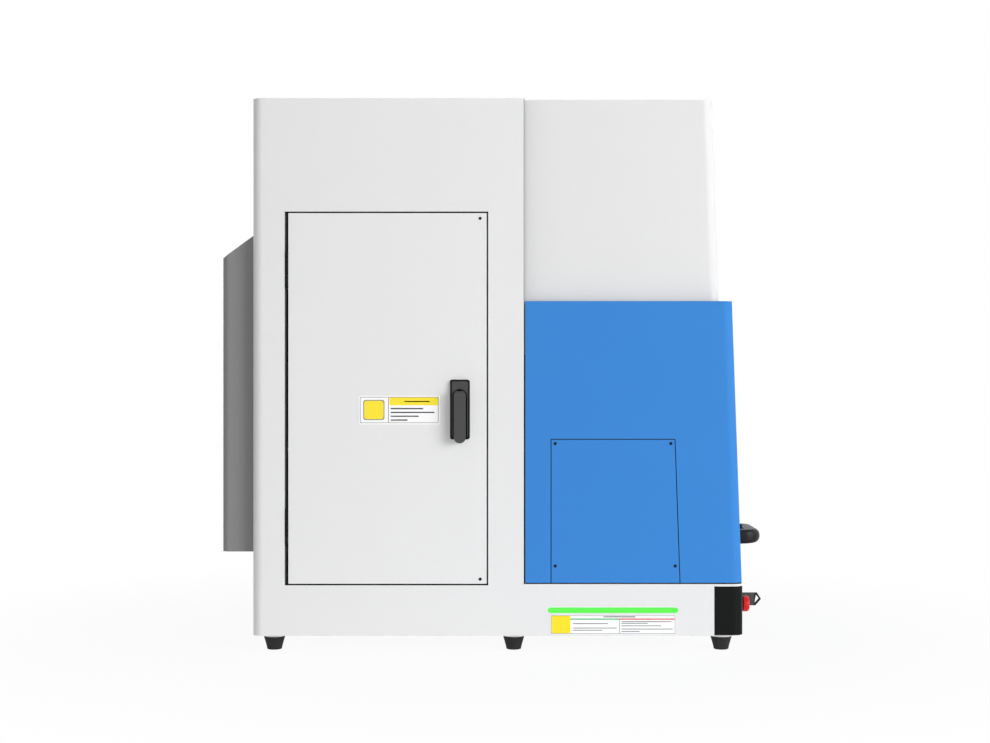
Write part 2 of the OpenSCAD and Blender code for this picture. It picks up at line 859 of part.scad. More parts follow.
// Turning core with the key in it: a flat bow with a pointed end and a three-sided hole
module key() color("#404040") at_key() {
    neck_y = y_front - key_neck_l;
    bow_y = neck_y - key_neck;
    bar_y(key_core_r, y_front - collar_t, y_front + key_core_l);
    difference() {
        along_x(-key_t / 2, key_t / 2) polygon([
            [y_front - collar_t + cut, -key_neck], [y_front - collar_t + cut, key_neck],
            [neck_y, key_neck], [bow_y, key_h / 2], [key_y + key_point, key_h / 2], [key_y, 0],
            [key_y + key_chin, -key_h / 2], [bow_y, -key_h / 2], [neck_y, -key_neck]]);
        along_x(-key_t, key_t) polygon([[key_y + key_wall, 1],
            [key_y + key_point + key_setback, key_h / 2 - key_rim],
            [key_y + key_chin + key_setback, key_rim - key_h / 2]]);
    }
}

// Green light strips in the base's sides, each held by a flange behind the sheet
module status_lights() color("lime") both_sides() at_light() {
    along_x(inner_x, side_x) slot_outline(light_l - 2 * clear, light_h - 2 * clear);
    along_x(inner_x - light_flange, inner_x)
        slot_outline(light_l + 2 * light_flange, light_h + 2 * light_flange);
}

// ---- Feet ----

module rubber_feet() color("#282828") at_feet() difference() {
    rotate_extrude() difference() {
        polygon([[0, 0], [foot_bottom_r - foot_edge, 0], [foot_bottom_r, foot_edge],
            [foot_top_r, foot_h - foot_neck_h - foot_edge], [foot_top_r, foot_h - foot_neck_h],
            [foot_neck_r, foot_h - foot_neck_h], [foot_neck_r, foot_h], [0, foot_h]]);
        square([foot_bolt_r + clear, foot_h + cut]);
        square([foot_seat_r, foot_seat_h]);
    }
}

module foot_bolts() color("silver") at_feet() {
    translate([0, 0, foot_seat_h - bolt_head_h]) cylinder(r = bolt_head_r, h = bolt_head_h);
    translate([0, 0, foot_seat_h - cut])
        cylinder(r = foot_bolt_r, h = tray_top + bolt_spare - foot_seat_h + cut);
    translate([0, 0, tray_top]) cylinder(r = bolt_head_r, h = bolt_head_h, $fn = 6);
}

// ---- Rear ----

// Cover over the fans, open below, with a sloping top
module rear_vent_cover() color("dimgray") {
    w = cover_w / 2;
    difference() {
        cover_body(w, cover_y0, cover_y1, cover_r, 0);
        cover_body(w - sheet_t, cover_y0 - cut, cover_y1 - sheet_t, cover_r - sheet_t, cut);
    }
    both_sides() {
        box([w - flange_w, w - sheet_t / 2], [cover_y0, cover_y0 + sheet_t],
            [cover_z0, cover_z1 - flange_w / 2]);
        for (z = [cover_z0 + cover_post_end, cover_z1 - cover_post_end])
            translate([w - cover_post_side, 0, z])
                bar_y(cover_post_r, y_rear, cover_y0 + sheet_t);
    }
}

module cover_body(w, y0, y1, r, drop) {
    inset = drop == 0 ? 0 : sheet_t;
    intersection() {
        along_x(-w, w) polygon([[y0, cover_z0 - drop], [y1, cover_z0 - drop],
            [y1, cover_z1 - cover_fall - inset], [y0, cover_z1 - inset]]);
        translate([0, 0, cover_z0 - 2 * cut]) linear_extrude(cover_z1 - cover_z0 + 3 * cut)
            rear_round(w, y0, y1, r);
    }
}

// Turns a shape drawn along z so that it points to the rear, seated inside the rear wall
module fan_place() {
    translate([0, y_wall - fan_d, 0]) rotate([-90, 0, 0]) children();
}

module fan_frames() color("#303030") at_fans() fan_place() {
    difference() {
        translate([-fan_w / 2, -fan_w / 2, 0]) cube([fan_w, fan_w, fan_d]);
        translate([0, 0, -cut]) cylinder(r = fan_r, h = fan_d + 2 * cut);
    }
    for (a = [45 : 90 : 315]) rotate(a)
        translate([0, -fan_bar_w / 2, 0]) cube([fan_r + fan_tip, fan_bar_w, fan_bar]);
    cylinder(r = fan_hub_r - fan_tip, h = fan_bar);
    cylinder(r = fan_post_r, h = rotor_z0 + rotor_h + 1);
}

module fan_rotor() fan_place() difference() {
    union() {
        translate([0, 0, rotor_z0]) cylinder(r = fan_hub_r, h = rotor_h);
        intersection() {
            translate([0, 0, rotor_z0]) cylinder(r = fan_r - fan_tip, h = rotor_h);
            for (i = [0 : blades - 1]) rotate(i * 360 / blades)
                translate([fan_hub_r - 2, 0, fan_d / 2]) rotate([blade_pitch, 0, 0])
                    translate([0, -blade_t / 2, -fan_d / 2]) cube([fan_r, blade_t, fan_d]);
        }
    }
    translate([0, 0, -cut]) cylinder(r = fan_post_r + run_fit, h = fan_d + 2 * cut);
}

module fan_rotor_left() color("#404040") translate([-fan_x, 0, fan_z]) fan_rotor();

module fan_rotor_right() color("#404040") translate([fan_x, 0, fan_z]) fan_rotor();

// Wire guards on the outside of the rear wall
module fan_guards() color("silver") at_fans() {
    translate([0, y_wall + sheet_t, 0]) rotate([-90, 0, 0]) {
        for (r = [guard_r0 : guard_step : fan_r]) difference() {
            cylinder(r = r + guard_wire / 2, h = guard_t - 0.5);
            translate([0, 0, -cut]) cylinder(r = r - guard_wire / 2, h = guard_t + cut);
        }
        for (a = [45 : 90 : 315]) rotate(a) translate([guard_r0 - guard_wire, -guard_t / 2, 0])
            cube([fan_r - guard_r0 + guard_wire + guard_ear, guard_t, guard_t]);
    }
}

// Raised box low on the rear wall that carries the mains inlet
module connector_box() color("gainsboro") translate([-box_x, 0, 0]) difference() {
    box([-box_w / 2, box_w / 2], [y_wall + sheet_t, y_wall + sheet_t + box_d],
        [box_z, box_z + box_h]);
    box([-box_w / 2 + sheet_t, box_w / 2 - sheet_t],
        [y_wall + sheet_t - cut, y_wall + box_d], [box_z + sheet_t, box_z + box_h - sheet_t]);
    inlet_cut(y_wall, y_rear + box_d + cut);
}

// The inlet's opening, or its body with a gap round it, between two y values
module inlet_cut(y0, y1, gap = 0) {
    w = inlet_w / 2 - inlet_lap - gap;
    h = inlet_h / 2 - inlet_lap - gap;
    box([-w, w], [y0, y1], [inlet_z - h, inlet_z + h]);
}

// Mains inlet: a flange with a socket below and a rocker's seat above
module power_inlet() color("#202020") translate([-box_x, 0, 0]) difference() {
    union() {
        box([-inlet_w / 2, inlet_w / 2], [inlet_y, inlet_y + inlet_flange],
            [inlet_z - inlet_h / 2, inlet_z + inlet_h / 2]);
        inlet_cut(inlet_y - inlet_d, inlet_y + cut, clear);
    }
    translate([0, 0, socket_z]) along_y(inlet_y - socket_d, inlet_y + inlet_flange + cut)
        rounded(socket_w, socket_h, socket_r);
    translate([0, rocker_y, rocker_z])
        bar_x(rocker_r + clear, -rocker_w / 2 - clear, rocker_w / 2 + clear);
}

// Rocker: a drum in its seat with two flats that meet at a blunt ridge
module power_switch() color("#a01010")
    translate([-box_x, rocker_y, rocker_z]) difference() {
        bar_x(rocker_r, -rocker_w / 2, rocker_w / 2);
        for (s = [-1, 1]) rotate([rocker_tilt + s * rocker_half, 0, 0])
            box([-rocker_w, rocker_w], [rocker_r - rocker_flat, rocker_r + cut],
                s < 0 ? [-rocker_r - cut, 0] : [0, rocker_r + cut]);
    }

// ---- Equipment in the cabinet ----

module equipment_shelf() color("silver") {
    y0 = y_cab + 2 * sheet_t;
    x1 = side_x - shelf_inset;
    box([-x1, x1], [y0, y_wall], [shelf_z - sheet_t, shelf_z]);
    box([-x1, x1], [y0, y0 + sheet_t], [shelf_z - flange_w, shelf_z]);
    box([-x1, x1], [y_wall - sheet_t, y_wall], [shelf_z - flange_w, shelf_z]);
    both_sides() box([x1 - shelf_foot, x1], [y_cab + sheet_t, y0 + cut],
        [shelf_z - flange_w, shelf_z]);
}

// Laser source with cooling fins on its top
module laser_source() color("dimgray") translate([source_x, source_y, shelf_z]) {
    difference() {
        translate([-source_w / 2, -source_d / 2, 0]) cube([source_w, source_d, source_h]);
        for (i = [0 : fins - 1])
            translate([fin_start - source_w / 2 + i * (source_w - fin_start - fin_end) / fins,
                -source_d / 2 - cut, source_h - fin_d])
                cube([fin_gap, source_d + 2 * cut, fin_d + cut]);
    }
    translate([fiber_route[14][0] - source_x, fiber_route[14][1] - source_y, source_h - cut])
        cylinder(r = port_r, h = port_h + cut);
}

// Control unit with a row of slots in its top
module control_unit() color("#384048") translate([unit_at[0], unit_at[1], tray_top])
    difference() {
        translate([-unit_size[0] / 2, -unit_size[1] / 2, 0]) cube(unit_size);
        for (i = [0 : unit_slots - 1])
            translate([(2 * i - unit_slots + 0.5) * unit_slot[0], -unit_slot[1] / 2,
                unit_size[2] - unit_slot[2]])
                cube([unit_slot[0], unit_slot[1], unit_slot[2] + cut]);
    }

// Power supply with a row of slots in its side
module power_supply() color("silver") translate([supply_at[0], supply_at[1], tray_top])
    difference() {
        translate([-supply_size[0] / 2, -supply_size[1] / 2, 0]) cube(supply_size);
        for (i = [0 : supply_slots - 1])
            translate([-supply_size[0] / 2 - cut,
                ((i + 0.5) / supply_slots - 0.5) * supply_size[1] - supply_slot[1] / 2,
                (supply_size[2] - supply_slot[2]) / 2])
                cube([supply_slot[0] + cut, supply_slot[1], supply_slot[2]]);
    }

// Mounting rail with a row of breakers, on the cabinet side of the bulkhead
module breaker_rail() color("whitesmoke") {
    y0 = y_cab + sheet_t;
    translate([din_at[0], 0, din_at[1]]) {
        difference() {
            box([-din_l / 2, din_l / 2], [y0, y0 + din_d], [-din_w / 2, din_w / 2]);
            box([-din_l / 2 - cut, din_l / 2 + cut], [y0 + din_t, y0 + din_d + cut],
                [5 - din_w / 2, din_w / 2 - 5]);
        }
        for (i = [0 : breakers - 1])
            translate([(i - (breakers - 1) / 2) * breaker_pitch - breaker_size[0] / 2,
                y0 + din_d, -breaker_size[2] / 2]) cube(breaker_size);
    }
}

// Armoured fiber from the laser source over the bulkhead to the beam tube
module delivery_fiber() color("gold") tube(fiber_route, fiber_r);

// ---- Head drive ----

module z_column() color("silver") translate([0, 0, deck_z]) linear_extrude(column_h) difference() {
    translate([-column_w / 2, column_y]) square([column_w, column_d]);
    translate([-column_w / 2 + column_wall, column_y + column_wall])
        square([column_w - 2 * column_wall, column_d - 2 * column_wall]);
}

module z_rails() color("lightgray") both_sides()
    box([rail_x - rail_s / 2, rail_x + rail_s / 2], [rail_y, column_y], [rail_z0, rail_z1]);

// Bearing block below, and the motor's plate with its bearing on top of the column
module screw_bearings() color("gray") difference() {
    union() {
        box([-bearing_w / 2, bearing_w / 2], [screw_y - screw_gap, column_y],
            [bearing_z, bearing_z + bearing_h]);
        box([-motor_w / 2 - motor_plate_lap, motor_w / 2 + motor_plate_lap],
            [screw_y - motor_w / 2, y_cab], [column_z1, column_z1 + motor_plate_t]);
    }
    translate([0, screw_y, bearing_z + bearing_seat])
        cylinder(r = screw_drive_r + run_fit, h = column_h);
}

module z_motor() color("#303030") translate([-motor_w / 2, screw_y - motor_w / 2,
    column_z1 + motor_plate_t]) cube([motor_w, motor_w, motor_w]);

module lead_screw() color("lightgray")
    translate([0, screw_y, bearing_z + bearing_seat + clear]) cylinder(r = screw_drive_r,
        h = column_z1 + motor_plate_t - bearing_z - bearing_seat - 2 * clear);

// Carriage plate with its four rail blocks, the nut and the arm
module head_carriage() color("silver") {
    z0 = head_z - plate_h / 2;
    z1 = head_z + plate_h / 2;
    difference() {
        union() {
            box([-plate_w / 2, plate_w / 2], [plate_y - plate_t, plate_y], [z0, z1]);
            for (x = [-rail_x, rail_x], z = [z0 + block_inset, z1 - block_inset - block_l])
                box([x - block_w / 2, x + block_w / 2], [plate_y - cut, column_y - 3],
                    [z, z + block_l]);
            box([-nut_w / 2, nut_w / 2], [plate_y - cut, column_y - 1],
                [head_z - nut_h / 2, head_z + nut_h / 2]);
            box([-arm_w / 2 - beam_x / 2, arm_w / 2 - beam_x / 2],
                [scan_y1, plate_y - plate_t + cut],
                [head_z - tube_s / 2 - arm_t, head_z - tube_s / 2]);
        }
        both_sides() box([rail_x - rail_s / 2 - clear, rail_x + rail_s / 2 + clear],
            [rail_y - clear, column_y], [z0 - cut, z1 + cut]);
        translate([0, screw_y, z0 - cut])
            cylinder(r = screw_drive_r + run_fit, h = plate_h + 2 * cut);
    }
}

// ---- Scan head ----

module beam_tube() color("#282828") translate([-beam_x, 0, head_z]) difference() {
    union() {
        box([-tube_s / 2, tube_s / 2], [scan_y1, plate_y - plate_t - tube_gap],
            [-tube_s / 2, tube_s / 2]);
        translate([0, port_y, tube_s / 2 - cut]) cylinder(r = port_r, h = port_h + cut);
    }
    bar_y(beam_r, scan_y1 - cut, port_y + beam_r);
}

module scan_head() color("#303030") difference() {
    union() {
        box([-scan_w / 2, scan_w / 2], [scan_y0, scan_y1], [scan_z0, scan_z1]);
        translate([-beam_x, mark_y, scan_z1 - cut]) cylinder(r = motor_can_r, h = motor_can_h + cut);
        translate([0, 0, head_z]) bar_y(motor_can_r, scan_y0 - motor_can_h, scan_y0 + cut);
    }
    box([-scan_w / 2 + scan_wall, scan_w / 2 - scan_wall],
        [scan_y0 + scan_wall, scan_y1 - scan_wall], [scan_z0 + scan_wall, scan_z1 - scan_wall]);
    translate([0, mark_y, scan_z0 - cut]) cylinder(r = lens_r - lens_seat, h = scan_wall + 2 * cut);
    translate([-beam_x, 0, head_z]) bar_y(beam_r, scan_y1 - scan_wall - cut, scan_y1 + cut);
    translate([-beam_x, mark_y, scan_z1 - scan_wall - cut])
        cylinder(r = shaft_r + run_fit, h = scan_wall + motor_can_h);
    translate([0, 0, head_z])
        bar_y(shaft_r + run_fit, scan_y0 - motor_can_h + 4, scan_y0 + scan_wall + cut);
}

// First mirror: turns about its upright shaft
module galvo_mirror_x() color("gold") translate([-beam_x, mark_y, 0]) {
    shaft_z = head_z + mirror_rise - shaft_lap;
    rotate(45) box([-mirror_w / 2, mirror_w / 2], [-mirror_t / 2, mirror_t / 2],
        [head_z - mirror_drop, head_z + mirror_rise]);
    translate([0, 0, shaft_z])
        cylinder(r = shaft_r, h = scan_z1 + motor_can_h - shaft_end - shaft_z);
}

// Second mirror: turns about its level shaft and sends the beam down
module galvo_mirror_y() color("gold") translate([0, 0, head_z]) {
    rotate([0, -45, 0]) box([-mirror_long_w / 2, mirror_long_w / 2],
        [mark_y - mirror_rise, mark_y + mirror_rise - shaft_lap], [-mirror_t / 2, mirror_t / 2]);
    bar_y(shaft_r, scan_y0 - motor_can_h + shaft_end, mark_y - mirror_rise + shaft_lap);
}

module scan_lens() color("#181818") translate([0, mark_y, scan_z0 - lens_h]) rotate_extrude()
    polygon([[0, lens_glass + 2], [lens_r - lens_seat, lens_glass], [lens_r - lens_seat + 2, 0],
        [lens_r, 0], [lens_r, lens_h], [0, lens_h]]);

// ---- Chamber ----

// Worktable with a grid of tapped holes
module worktable() color("silver") translate([0, mark_y, deck_z]) difference() {
    translate([-table_w / 2, -table_d / 2, 0]) cube([table_w, table_d, table_t]);
    for (i = [0 : table_nx - 1], j = [0 : table_ny - 1])
        translate([(i - (table_nx - 1) / 2) * table_pitch,
            (j - (table_ny - 1) / 2) * table_pitch, -cut])
            cylinder(r = tap_r, h = table_t + 2 * cut);
}

// Two light bars inside the upper housing's front, beside the scan head's path
module chamber_light() color("white") leaning(housing_gap + sheet_t / cos(lean)) both_sides()
    translate([scan_w / 2 + lamp_gap, 0, housing_z0 - hood_z0 + lamp_rise]) cube(lamp_size);

// Square guide rails on the bulkhead, each with a rubber stop on the deck
module hood_guides() color("lightgray") both_sides() {
    box([guide_x - guide_w / 2, guide_x + guide_w / 2], [y_cab - guide_d, y_cab],
        [deck_z, guide_z1]);
    box([guide_x - carriage_w / 2, guide_x + carriage_w / 2], [carriage_y, y_cab],
        [deck_z, carriage_z - clear]);
}

module strut_cylinders() color("#202020") both_sides() {
    translate([strut_x, y_cab - strut_y, 0]) {
        translate([0, 0, deck_z]) cylinder(r = strut_r, h = strut_foot);
        translate([0, 0, deck_z + strut_foot]) difference() {
            cylinder(r = strut_r, h = strut_l);
            translate([0, 0, strut_end])
                cylinder(r = strut_r - strut_wall, h = strut_l - strut_end - strut_gland);
            translate([0, 0, strut_end]) cylinder(r = strut_rod_r + run_fit, h = strut_l + cut);
        }
    }
}

// ---- Hood ----

module service_outline(grow, drop) {
    z0 = hood_z0 - drop;
    z1 = service_z1 + grow;
    polygon([[service_y1 + grow, z0], [service_y1 + grow, z1],
        [service_y0(z1) - grow, z1], [service_y0(z0) - grow, z0]]);
}

// Places at which the service panel's screws go through, as y and z
function service_screws_at() = let (
    i = service_screw_inset,
    low = hood_z0 + service_screw_rise,
    high = service_z1 - i)
    [[service_y1 - i, high], [service_y0(high) + i, high],
        [service_y1 - i, low], [service_y0(low) + i, low]];

module at_service_screws() {
    for (p = service_screws_at()) translate([0, p[0], p[1]]) children();
}

// Three-sided hood of folded sheet with lips at its top and rear edges
module hood_shell() color("#4a8fdc") difference() {
    union() {
        hood_blank();
        both_sides() along_x(inner_x - backing_t, inner_x + sheet_t / 2) difference() {
            service_outline(service_lap, 0);
            service_outline(-service_lap, cut);
        }
    }
    both_sides() {
        along_x(inner_x, side_x + cut) service_outline(service_gap, cut);
        at_service_screws() bar_x(screw_r, inner_x - backing_t - cut, side_x + cut);
    }
    leaning() along_y(-cut, sheet_t + 2 * cut) at_window() rounded(window_w, window_h, window_r);
}

// The hood before its openings: a solid form, hollowed below its lips and between them
module hood_blank() difference() {
    lean_body(0, side_x, corner_r, hood_z0, hood_z1, hood_rear);
    lean_body(sheet_t / cos(lean), inner_x, corner_r - sheet_t,
        hood_z0 - cut, hood_z1 - sheet_t, hood_rear - sheet_t);
    lean_body(hood_lip, side_x - hood_lip, corner_r - hood_lip + sheet_t,
        hood_z0 - 2 * cut, hood_z1 + cut, hood_rear + cut);
}

module at_window() translate([0, window_z]) children();

module hood_window() color("orange", 0.5)
    leaning() along_y(sheet_t + 1, sheet_t + 1 + pane_t) at_window()
        rounded(window_w + 4, window_h + 4, window_r + 2);

// Rubber seal that fills the opening's edge and grips the pane behind it
module window_seal() color("#181818") leaning() difference() {
    union() {
        along_y(0, sheet_t + cut) at_window() rounded(window_w, window_h, window_r);
        along_y(sheet_t, sheet_t + pane_t + 2) at_window()
            rounded(window_w + 14, window_h + 14, window_r + 7);
    }
    along_y(-cut, sheet_t + pane_t + 3) at_window()
        rounded(window_w - 2 * seal_w, window_h - 2 * seal_w, window_r - seal_w + 2);
    along_y(sheet_t + 1, sheet_t + 1 + pane_t) at_window()
        rounded(window_w + 4, window_h + 4, window_r + 2);
}

// Moulded bow handle: a round grip bar on two straight legs of the same height
module hood_handle() color("#282828") leaning() translate([0, 0, handle_rise]) {
    y_tip = -handle_reach + grip_r;
    both_sides() along_x(handle_l / 2 - handle_leg, handle_l / 2)
        translate([y_tip, -grip_r]) square([-y_tip, 2 * grip_r]);
    translate([0, y_tip, 0]) bar_x(grip_r, -handle_l / 2, handle_l / 2);
}

module service_panels() color("#4a8fdc") both_sides() difference() {
    along_x(inner_x, side_x) service_outline(0, 0);
    at_service_screws() bar_x(screw_r, inner_x - cut, side_x + cut);
}

// A pan-head screw drawn at the +x side's surface
module side_screw() {
    bar_x(screw_head_r, side_x, side_x + screw_head_h);
    bar_x(screw_r, side_x - screw_l, side_x + cut / 2);
}

module service_screws() color("#181818") both_sides() at_service_screws() side_screw();

// Blocks that run on the guides, each with a bracket to the hood's side
module hood_carriages() color("#303030") both_sides() difference() {
    union() {
        box([guide_x - carriage_w / 2, guide_x + carriage_w / 2],
            [carriage_y, y_cab - 1], [carriage_z, carriage_z + carriage_h]);
        box([guide_x, inner_x], [carriage_y, carriage_y + carriage_bracket_t],
            [carriage_z, carriage_z + carriage_h]);
        box([inner_x - carriage_foot_t, inner_x],
            [carriage_y - carriage_foot_d, carriage_y + carriage_bracket_t],
            [carriage_z, carriage_z + carriage_h]);
    }
    box([guide_x - guide_w / 2 - clear, guide_x + guide_w / 2 + clear],
        [y_cab - guide_d - clear, y_cab], [carriage_z - cut, carriage_z + carriage_h + cut]);
}

// Strut rods with a piston below and a bracket to the hood's side above
module strut_rods() color("silver") both_sides() translate([strut_x, y_cab - strut_y, 0]) {
    z0 = deck_z + strut_foot + piston_rise;
    z1 = deck_z + strut_foot + strut_l + strut_gland;
    translate([0, 0, z0]) cylinder(r = strut_r - strut_wall - run_fit, h = piston_h);
    translate([0, 0, z0]) cylinder(r = strut_rod_r, h = z1 - z0 + cut);
    box([-strut_r, inner_x - strut_x], [-strut_eye_d / 2, strut_eye_d / 2],
        [z1, z1 + strut_eye]);
}

// ---- Cabinet door ----

module cabinet_door() color("gainsboro") {
    difference() {
        box([-side_x, -side_x + door_fold], [leaf_y0, leaf_y1], [leaf_z0, leaf_z1]);
        box([-inner_x, -side_x + door_fold + cut], [leaf_y0 + sheet_t, leaf_y1 - sheet_t],
            [leaf_z0 + sheet_t, leaf_z1 - sheet_t]);
        translate([0, latch_y, latch_z]) bar_x(barrel_r + clear, -side_x - cut, -inner_x + cut);
        at_door_screws() bar_x(screw_r, -side_x - cut, -inner_x + cut);
    }
}

module at_door_screws() {
    for (z = [leaf_z0 + 7.5, leaf_z1 - 8.5])
        translate([0, leaf_y0 + door_screw_inset, z]) children();
}

module door_screws() color("#181818") at_door_screws() mirror([1, 0, 0]) side_screw();

module at_hinges() {
    for (z = hinge_zs) translate([-side_x, hinge_y, z]) children();
}

// Fixed hinge halves: two outer knuckles, the pin and the leaf on the opening's rim
module hinge_frame_leaves() color("#404040") at_hinges() {
    for (z = [0, 2 * knuckle_l]) translate([0, 0, z]) cylinder(r = knuckle_r, h = knuckle_l);
    cylinder(r = hinge_pin_r, h = hinge_l);
    difference() {
        box([0, hinge_reach], [hinge_gap / 2 - leaf_t, hinge_gap / 2], [0, hinge_l]);
        box([-cut, knuckle_r + 2 * clear], [0, hinge_gap],
            [knuckle_l, 2 * knuckle_l]);
    }
    for (z = [0, 2 * knuckle_l])
        box([0, knuckle_r], [0, hinge_gap / 2 - leaf_t + clear], [z, z + knuckle_l]);
}

// Moving hinge halves: the middle knuckle and the leaf on the door's edge
module hinge_door_leaves() color("#404040") at_hinges() {
    difference() {
        union() {
            translate([0, 0, knuckle_l + clear])
                cylinder(r = knuckle_r, h = knuckle_l - 2 * clear);
            box([0, hinge_reach], [-hinge_gap / 2, -hinge_gap / 2 + leaf_t], [0, hinge_l]);
            box([0, knuckle_r], [-hinge_gap / 2 + leaf_t - clear, 0],
                [knuckle_l + clear, 2 * knuckle_l - clear]);
        }
        for (z = [-cut, 2 * knuckle_l - clear])
            box([-cut, knuckle_r + 2 * clear], [-hinge_gap, 0], [z, z + knuckle_l + cut + clear]);
        translate([0, 0, -cut]) cylinder(r = hinge_pin_r + run_fit, h = hinge_l + 2 * cut);
    }
}

// ---- Latch ----

module at_latch() translate([0, latch_y, latch_z]) children();

// Plate on the door with the barrel that goes through it
module latch_housing() color("#303030") difference() {
    union() {
        translate([0, latch_y, latch_mid_z])
            along_x(latch_face, -side_x) rounded(latch_w, latch_h, 4);
        at_latch() bar_x(barrel_r, latch_face, cam_x - clear);
    }
    at_latch() bar_x(spindle_r + run_fit, latch_face - cut, cam_x + cut);
}

// Spindle with its cam inside the door and its lug outside
module latch_spindle() color("silver") at_latch() difference() {
    union() {
        bar_x(spindle_r, latch_face, cam_x + cam_t);
        box([cam_x, cam_x + cam_t], [-cam_w / 2, cam_w / 2], [-cam_l, cam_w / 2]);
        box([lever_x, latch_face + cut], [-lug_w / 2, lug_w / 2], [-lug_r, lug_r]);
        translate([lever_x, 0, 0]) bar_y(lug_r, -lug_w / 2, lug_w / 2);
    }
    translate([lever_x, 0, 0]) bar_y(lever_pin_r + run_fit, -lug_w, lug_w);
}

// Lever that lies on the plate, with its pin through the lug
module latch_lever() color("#383838") at_latch() {
    top_r = lever_t / 2;
    difference() {
        intersection() {
            along_x(lever_x - top_r - cut, lever_x + top_r + cut) lever_outline(top_r);
            translate([lever_x, 0, 0]) along_y(-lever_w, lever_w) {
                circle(top_r);
                translate([-top_r, -lever_l]) square([lever_t, lever_l]);
            }
        }
        box([lever_x - lug_r - clear, lever_x + lever_t],
            [-lug_w / 2 - clear, lug_w / 2 + clear], [-lug_r - clear, lever_t]);
    }
    translate([lever_x, 0, 0]) bar_y(lever_pin_r, -lug_w / 2 - 2, lug_w / 2 + 2);
}

module lever_outline(top_r) {
    r = lever_w / 2;
    for (z = [top_r - r, -lever_l + r]) translate([0, z]) circle(r);
    translate([-r, -lever_l + r]) square([lever_w, lever_l + top_r - 2 * r]);
}

base_tray();
base_deck();
side_left();
side_right();
rear_wall();
cabinet_roof();
bulkhead();
upper_housing();
control_panel();
estop_collar();
key_lock();
status_lights();
rubber_feet();
foot_bolts();
rear_vent_cover();
fan_frames();
fan_guards();
connector_box();
power_inlet();
laser_source();
control_unit();
power_supply();
breaker_rail();
equipment_shelf();
z_column();
z_rails();
z_motor();
screw_bearings();
worktable();
chamber_light();
hood_guides();
strut_cylinders();
hinge_frame_leaves();
delivery_fiber();
hood_shell();
hood_window();
window_seal();
hood_handle();
service_panels();
service_screws();
hood_carriages();
strut_rods();
cabinet_door();
hinge_door_leaves();
latch_housing();
door_screws();
latch_spindle();
latch_lever();
head_carriage();
beam_tube();
scan_head();
scan_lens();
galvo_mirror_x();
galvo_mirror_y();
lead_screw();
estop_button();
key();
fan_rotor_left();
fan_rotor_right();
power_switch();
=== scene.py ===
import bmesh
import bpy
from math import atan2, copysign, cos, pi, radians, sin, sqrt, tan, tau
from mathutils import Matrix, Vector


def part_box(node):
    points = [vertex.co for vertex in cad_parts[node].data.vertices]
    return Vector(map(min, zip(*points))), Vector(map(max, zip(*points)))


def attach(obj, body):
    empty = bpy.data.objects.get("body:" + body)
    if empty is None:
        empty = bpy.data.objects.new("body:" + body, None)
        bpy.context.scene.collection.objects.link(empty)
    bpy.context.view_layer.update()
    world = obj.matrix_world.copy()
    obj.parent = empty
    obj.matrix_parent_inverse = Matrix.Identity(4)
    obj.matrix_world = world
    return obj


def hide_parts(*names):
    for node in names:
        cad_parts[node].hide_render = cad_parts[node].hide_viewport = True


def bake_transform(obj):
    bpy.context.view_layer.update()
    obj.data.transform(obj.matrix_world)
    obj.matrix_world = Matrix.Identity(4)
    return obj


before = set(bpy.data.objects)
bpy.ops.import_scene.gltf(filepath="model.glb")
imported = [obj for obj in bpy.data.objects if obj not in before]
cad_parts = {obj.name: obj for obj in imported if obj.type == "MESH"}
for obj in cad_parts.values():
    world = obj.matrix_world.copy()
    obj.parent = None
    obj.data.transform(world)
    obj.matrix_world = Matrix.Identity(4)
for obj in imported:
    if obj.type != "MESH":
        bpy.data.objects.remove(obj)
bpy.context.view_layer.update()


# ---- Studio ----
# The machine stands on a pale table, lit from below, that fades into white surroundings.
# The camera looks level at the door's side. Soft lamps stand before that side and the
# front, weaker ones behind and at the far side, and a pale sky fills the rest.
CAMERA_DISTANCE = 2.8        # from the camera to the door's side
CAMERA_BACK = 0.0046         # of the camera behind the base's middle
CAMERA_HEIGHT = 0.4533
CAMERA_LENS = 63.6           # mm, on a sensor 36 mm wide
SKY_LIGHT = 0.32
LAMPS = (                    # name, place, size, power
    ("key_lamp", (-4.1, -4.0, 0.95), 3.0, 236),
    ("side_lamp", (-3.8, 0.5, 0.35), 1.4, 21),
    ("front_lamp", (-0.2, -4.6, 1.9), 2.6, 20),
    ("rear_lamp", (1.9, 4.7, 2.2), 3.0, 15),
    ("far_lamp", (5.5, 1.8, 1.6), 3.0, 80),
)
LAMP_AIM = Vector((0, 0, 0.45))
FLOOR_HALF = 12.0
FLOOR_FADE = (0.35, 1.25)    # distances between which the floor turns into the white
FLOOR_WHITE = 0.88           # share of that white beside the machine
TABLE_GLOW = 0.22            # strength of the table's own light beside the machine
TABLE_GLOW_FADE = (0.7, 1.6)  # distances between which that light ends
WHITE = (1, 1, 1, 1)

scene = bpy.context.scene
scene.view_settings.view_transform = "Standard"
door_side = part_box("side_left")[0].x

camera_data = bpy.data.cameras.new("camera")
camera_data.sensor_width = 36
camera_data.lens = CAMERA_LENS
camera = bpy.data.objects.new("camera", camera_data)
camera.location = (door_side - CAMERA_DISTANCE, CAMERA_BACK, CAMERA_HEIGHT)
camera.rotation_euler = (radians(90), 0, radians(-90))
scene.collection.objects.link(camera)
scene.camera = camera

for name, place, size, power in LAMPS:
    data = bpy.data.lights.new(name, "AREA")
    data.size = size
    data.energy = power
    lamp = bpy.data.objects.new(name, data)
    lamp.location = place
    lamp.rotation_euler = (LAMP_AIM - Vector(place)).to_track_quat("-Z", "Y").to_euler()
    lamp.visible_camera = False
    scene.collection.objects.link(lamp)


def put(tree, socket, value):
    """Links another node's output to a socket, or sets the socket to a value."""
    if isinstance(value, bpy.types.NodeSocket):
        tree.links.new(value, socket)
    else:
        socket.default_value = value


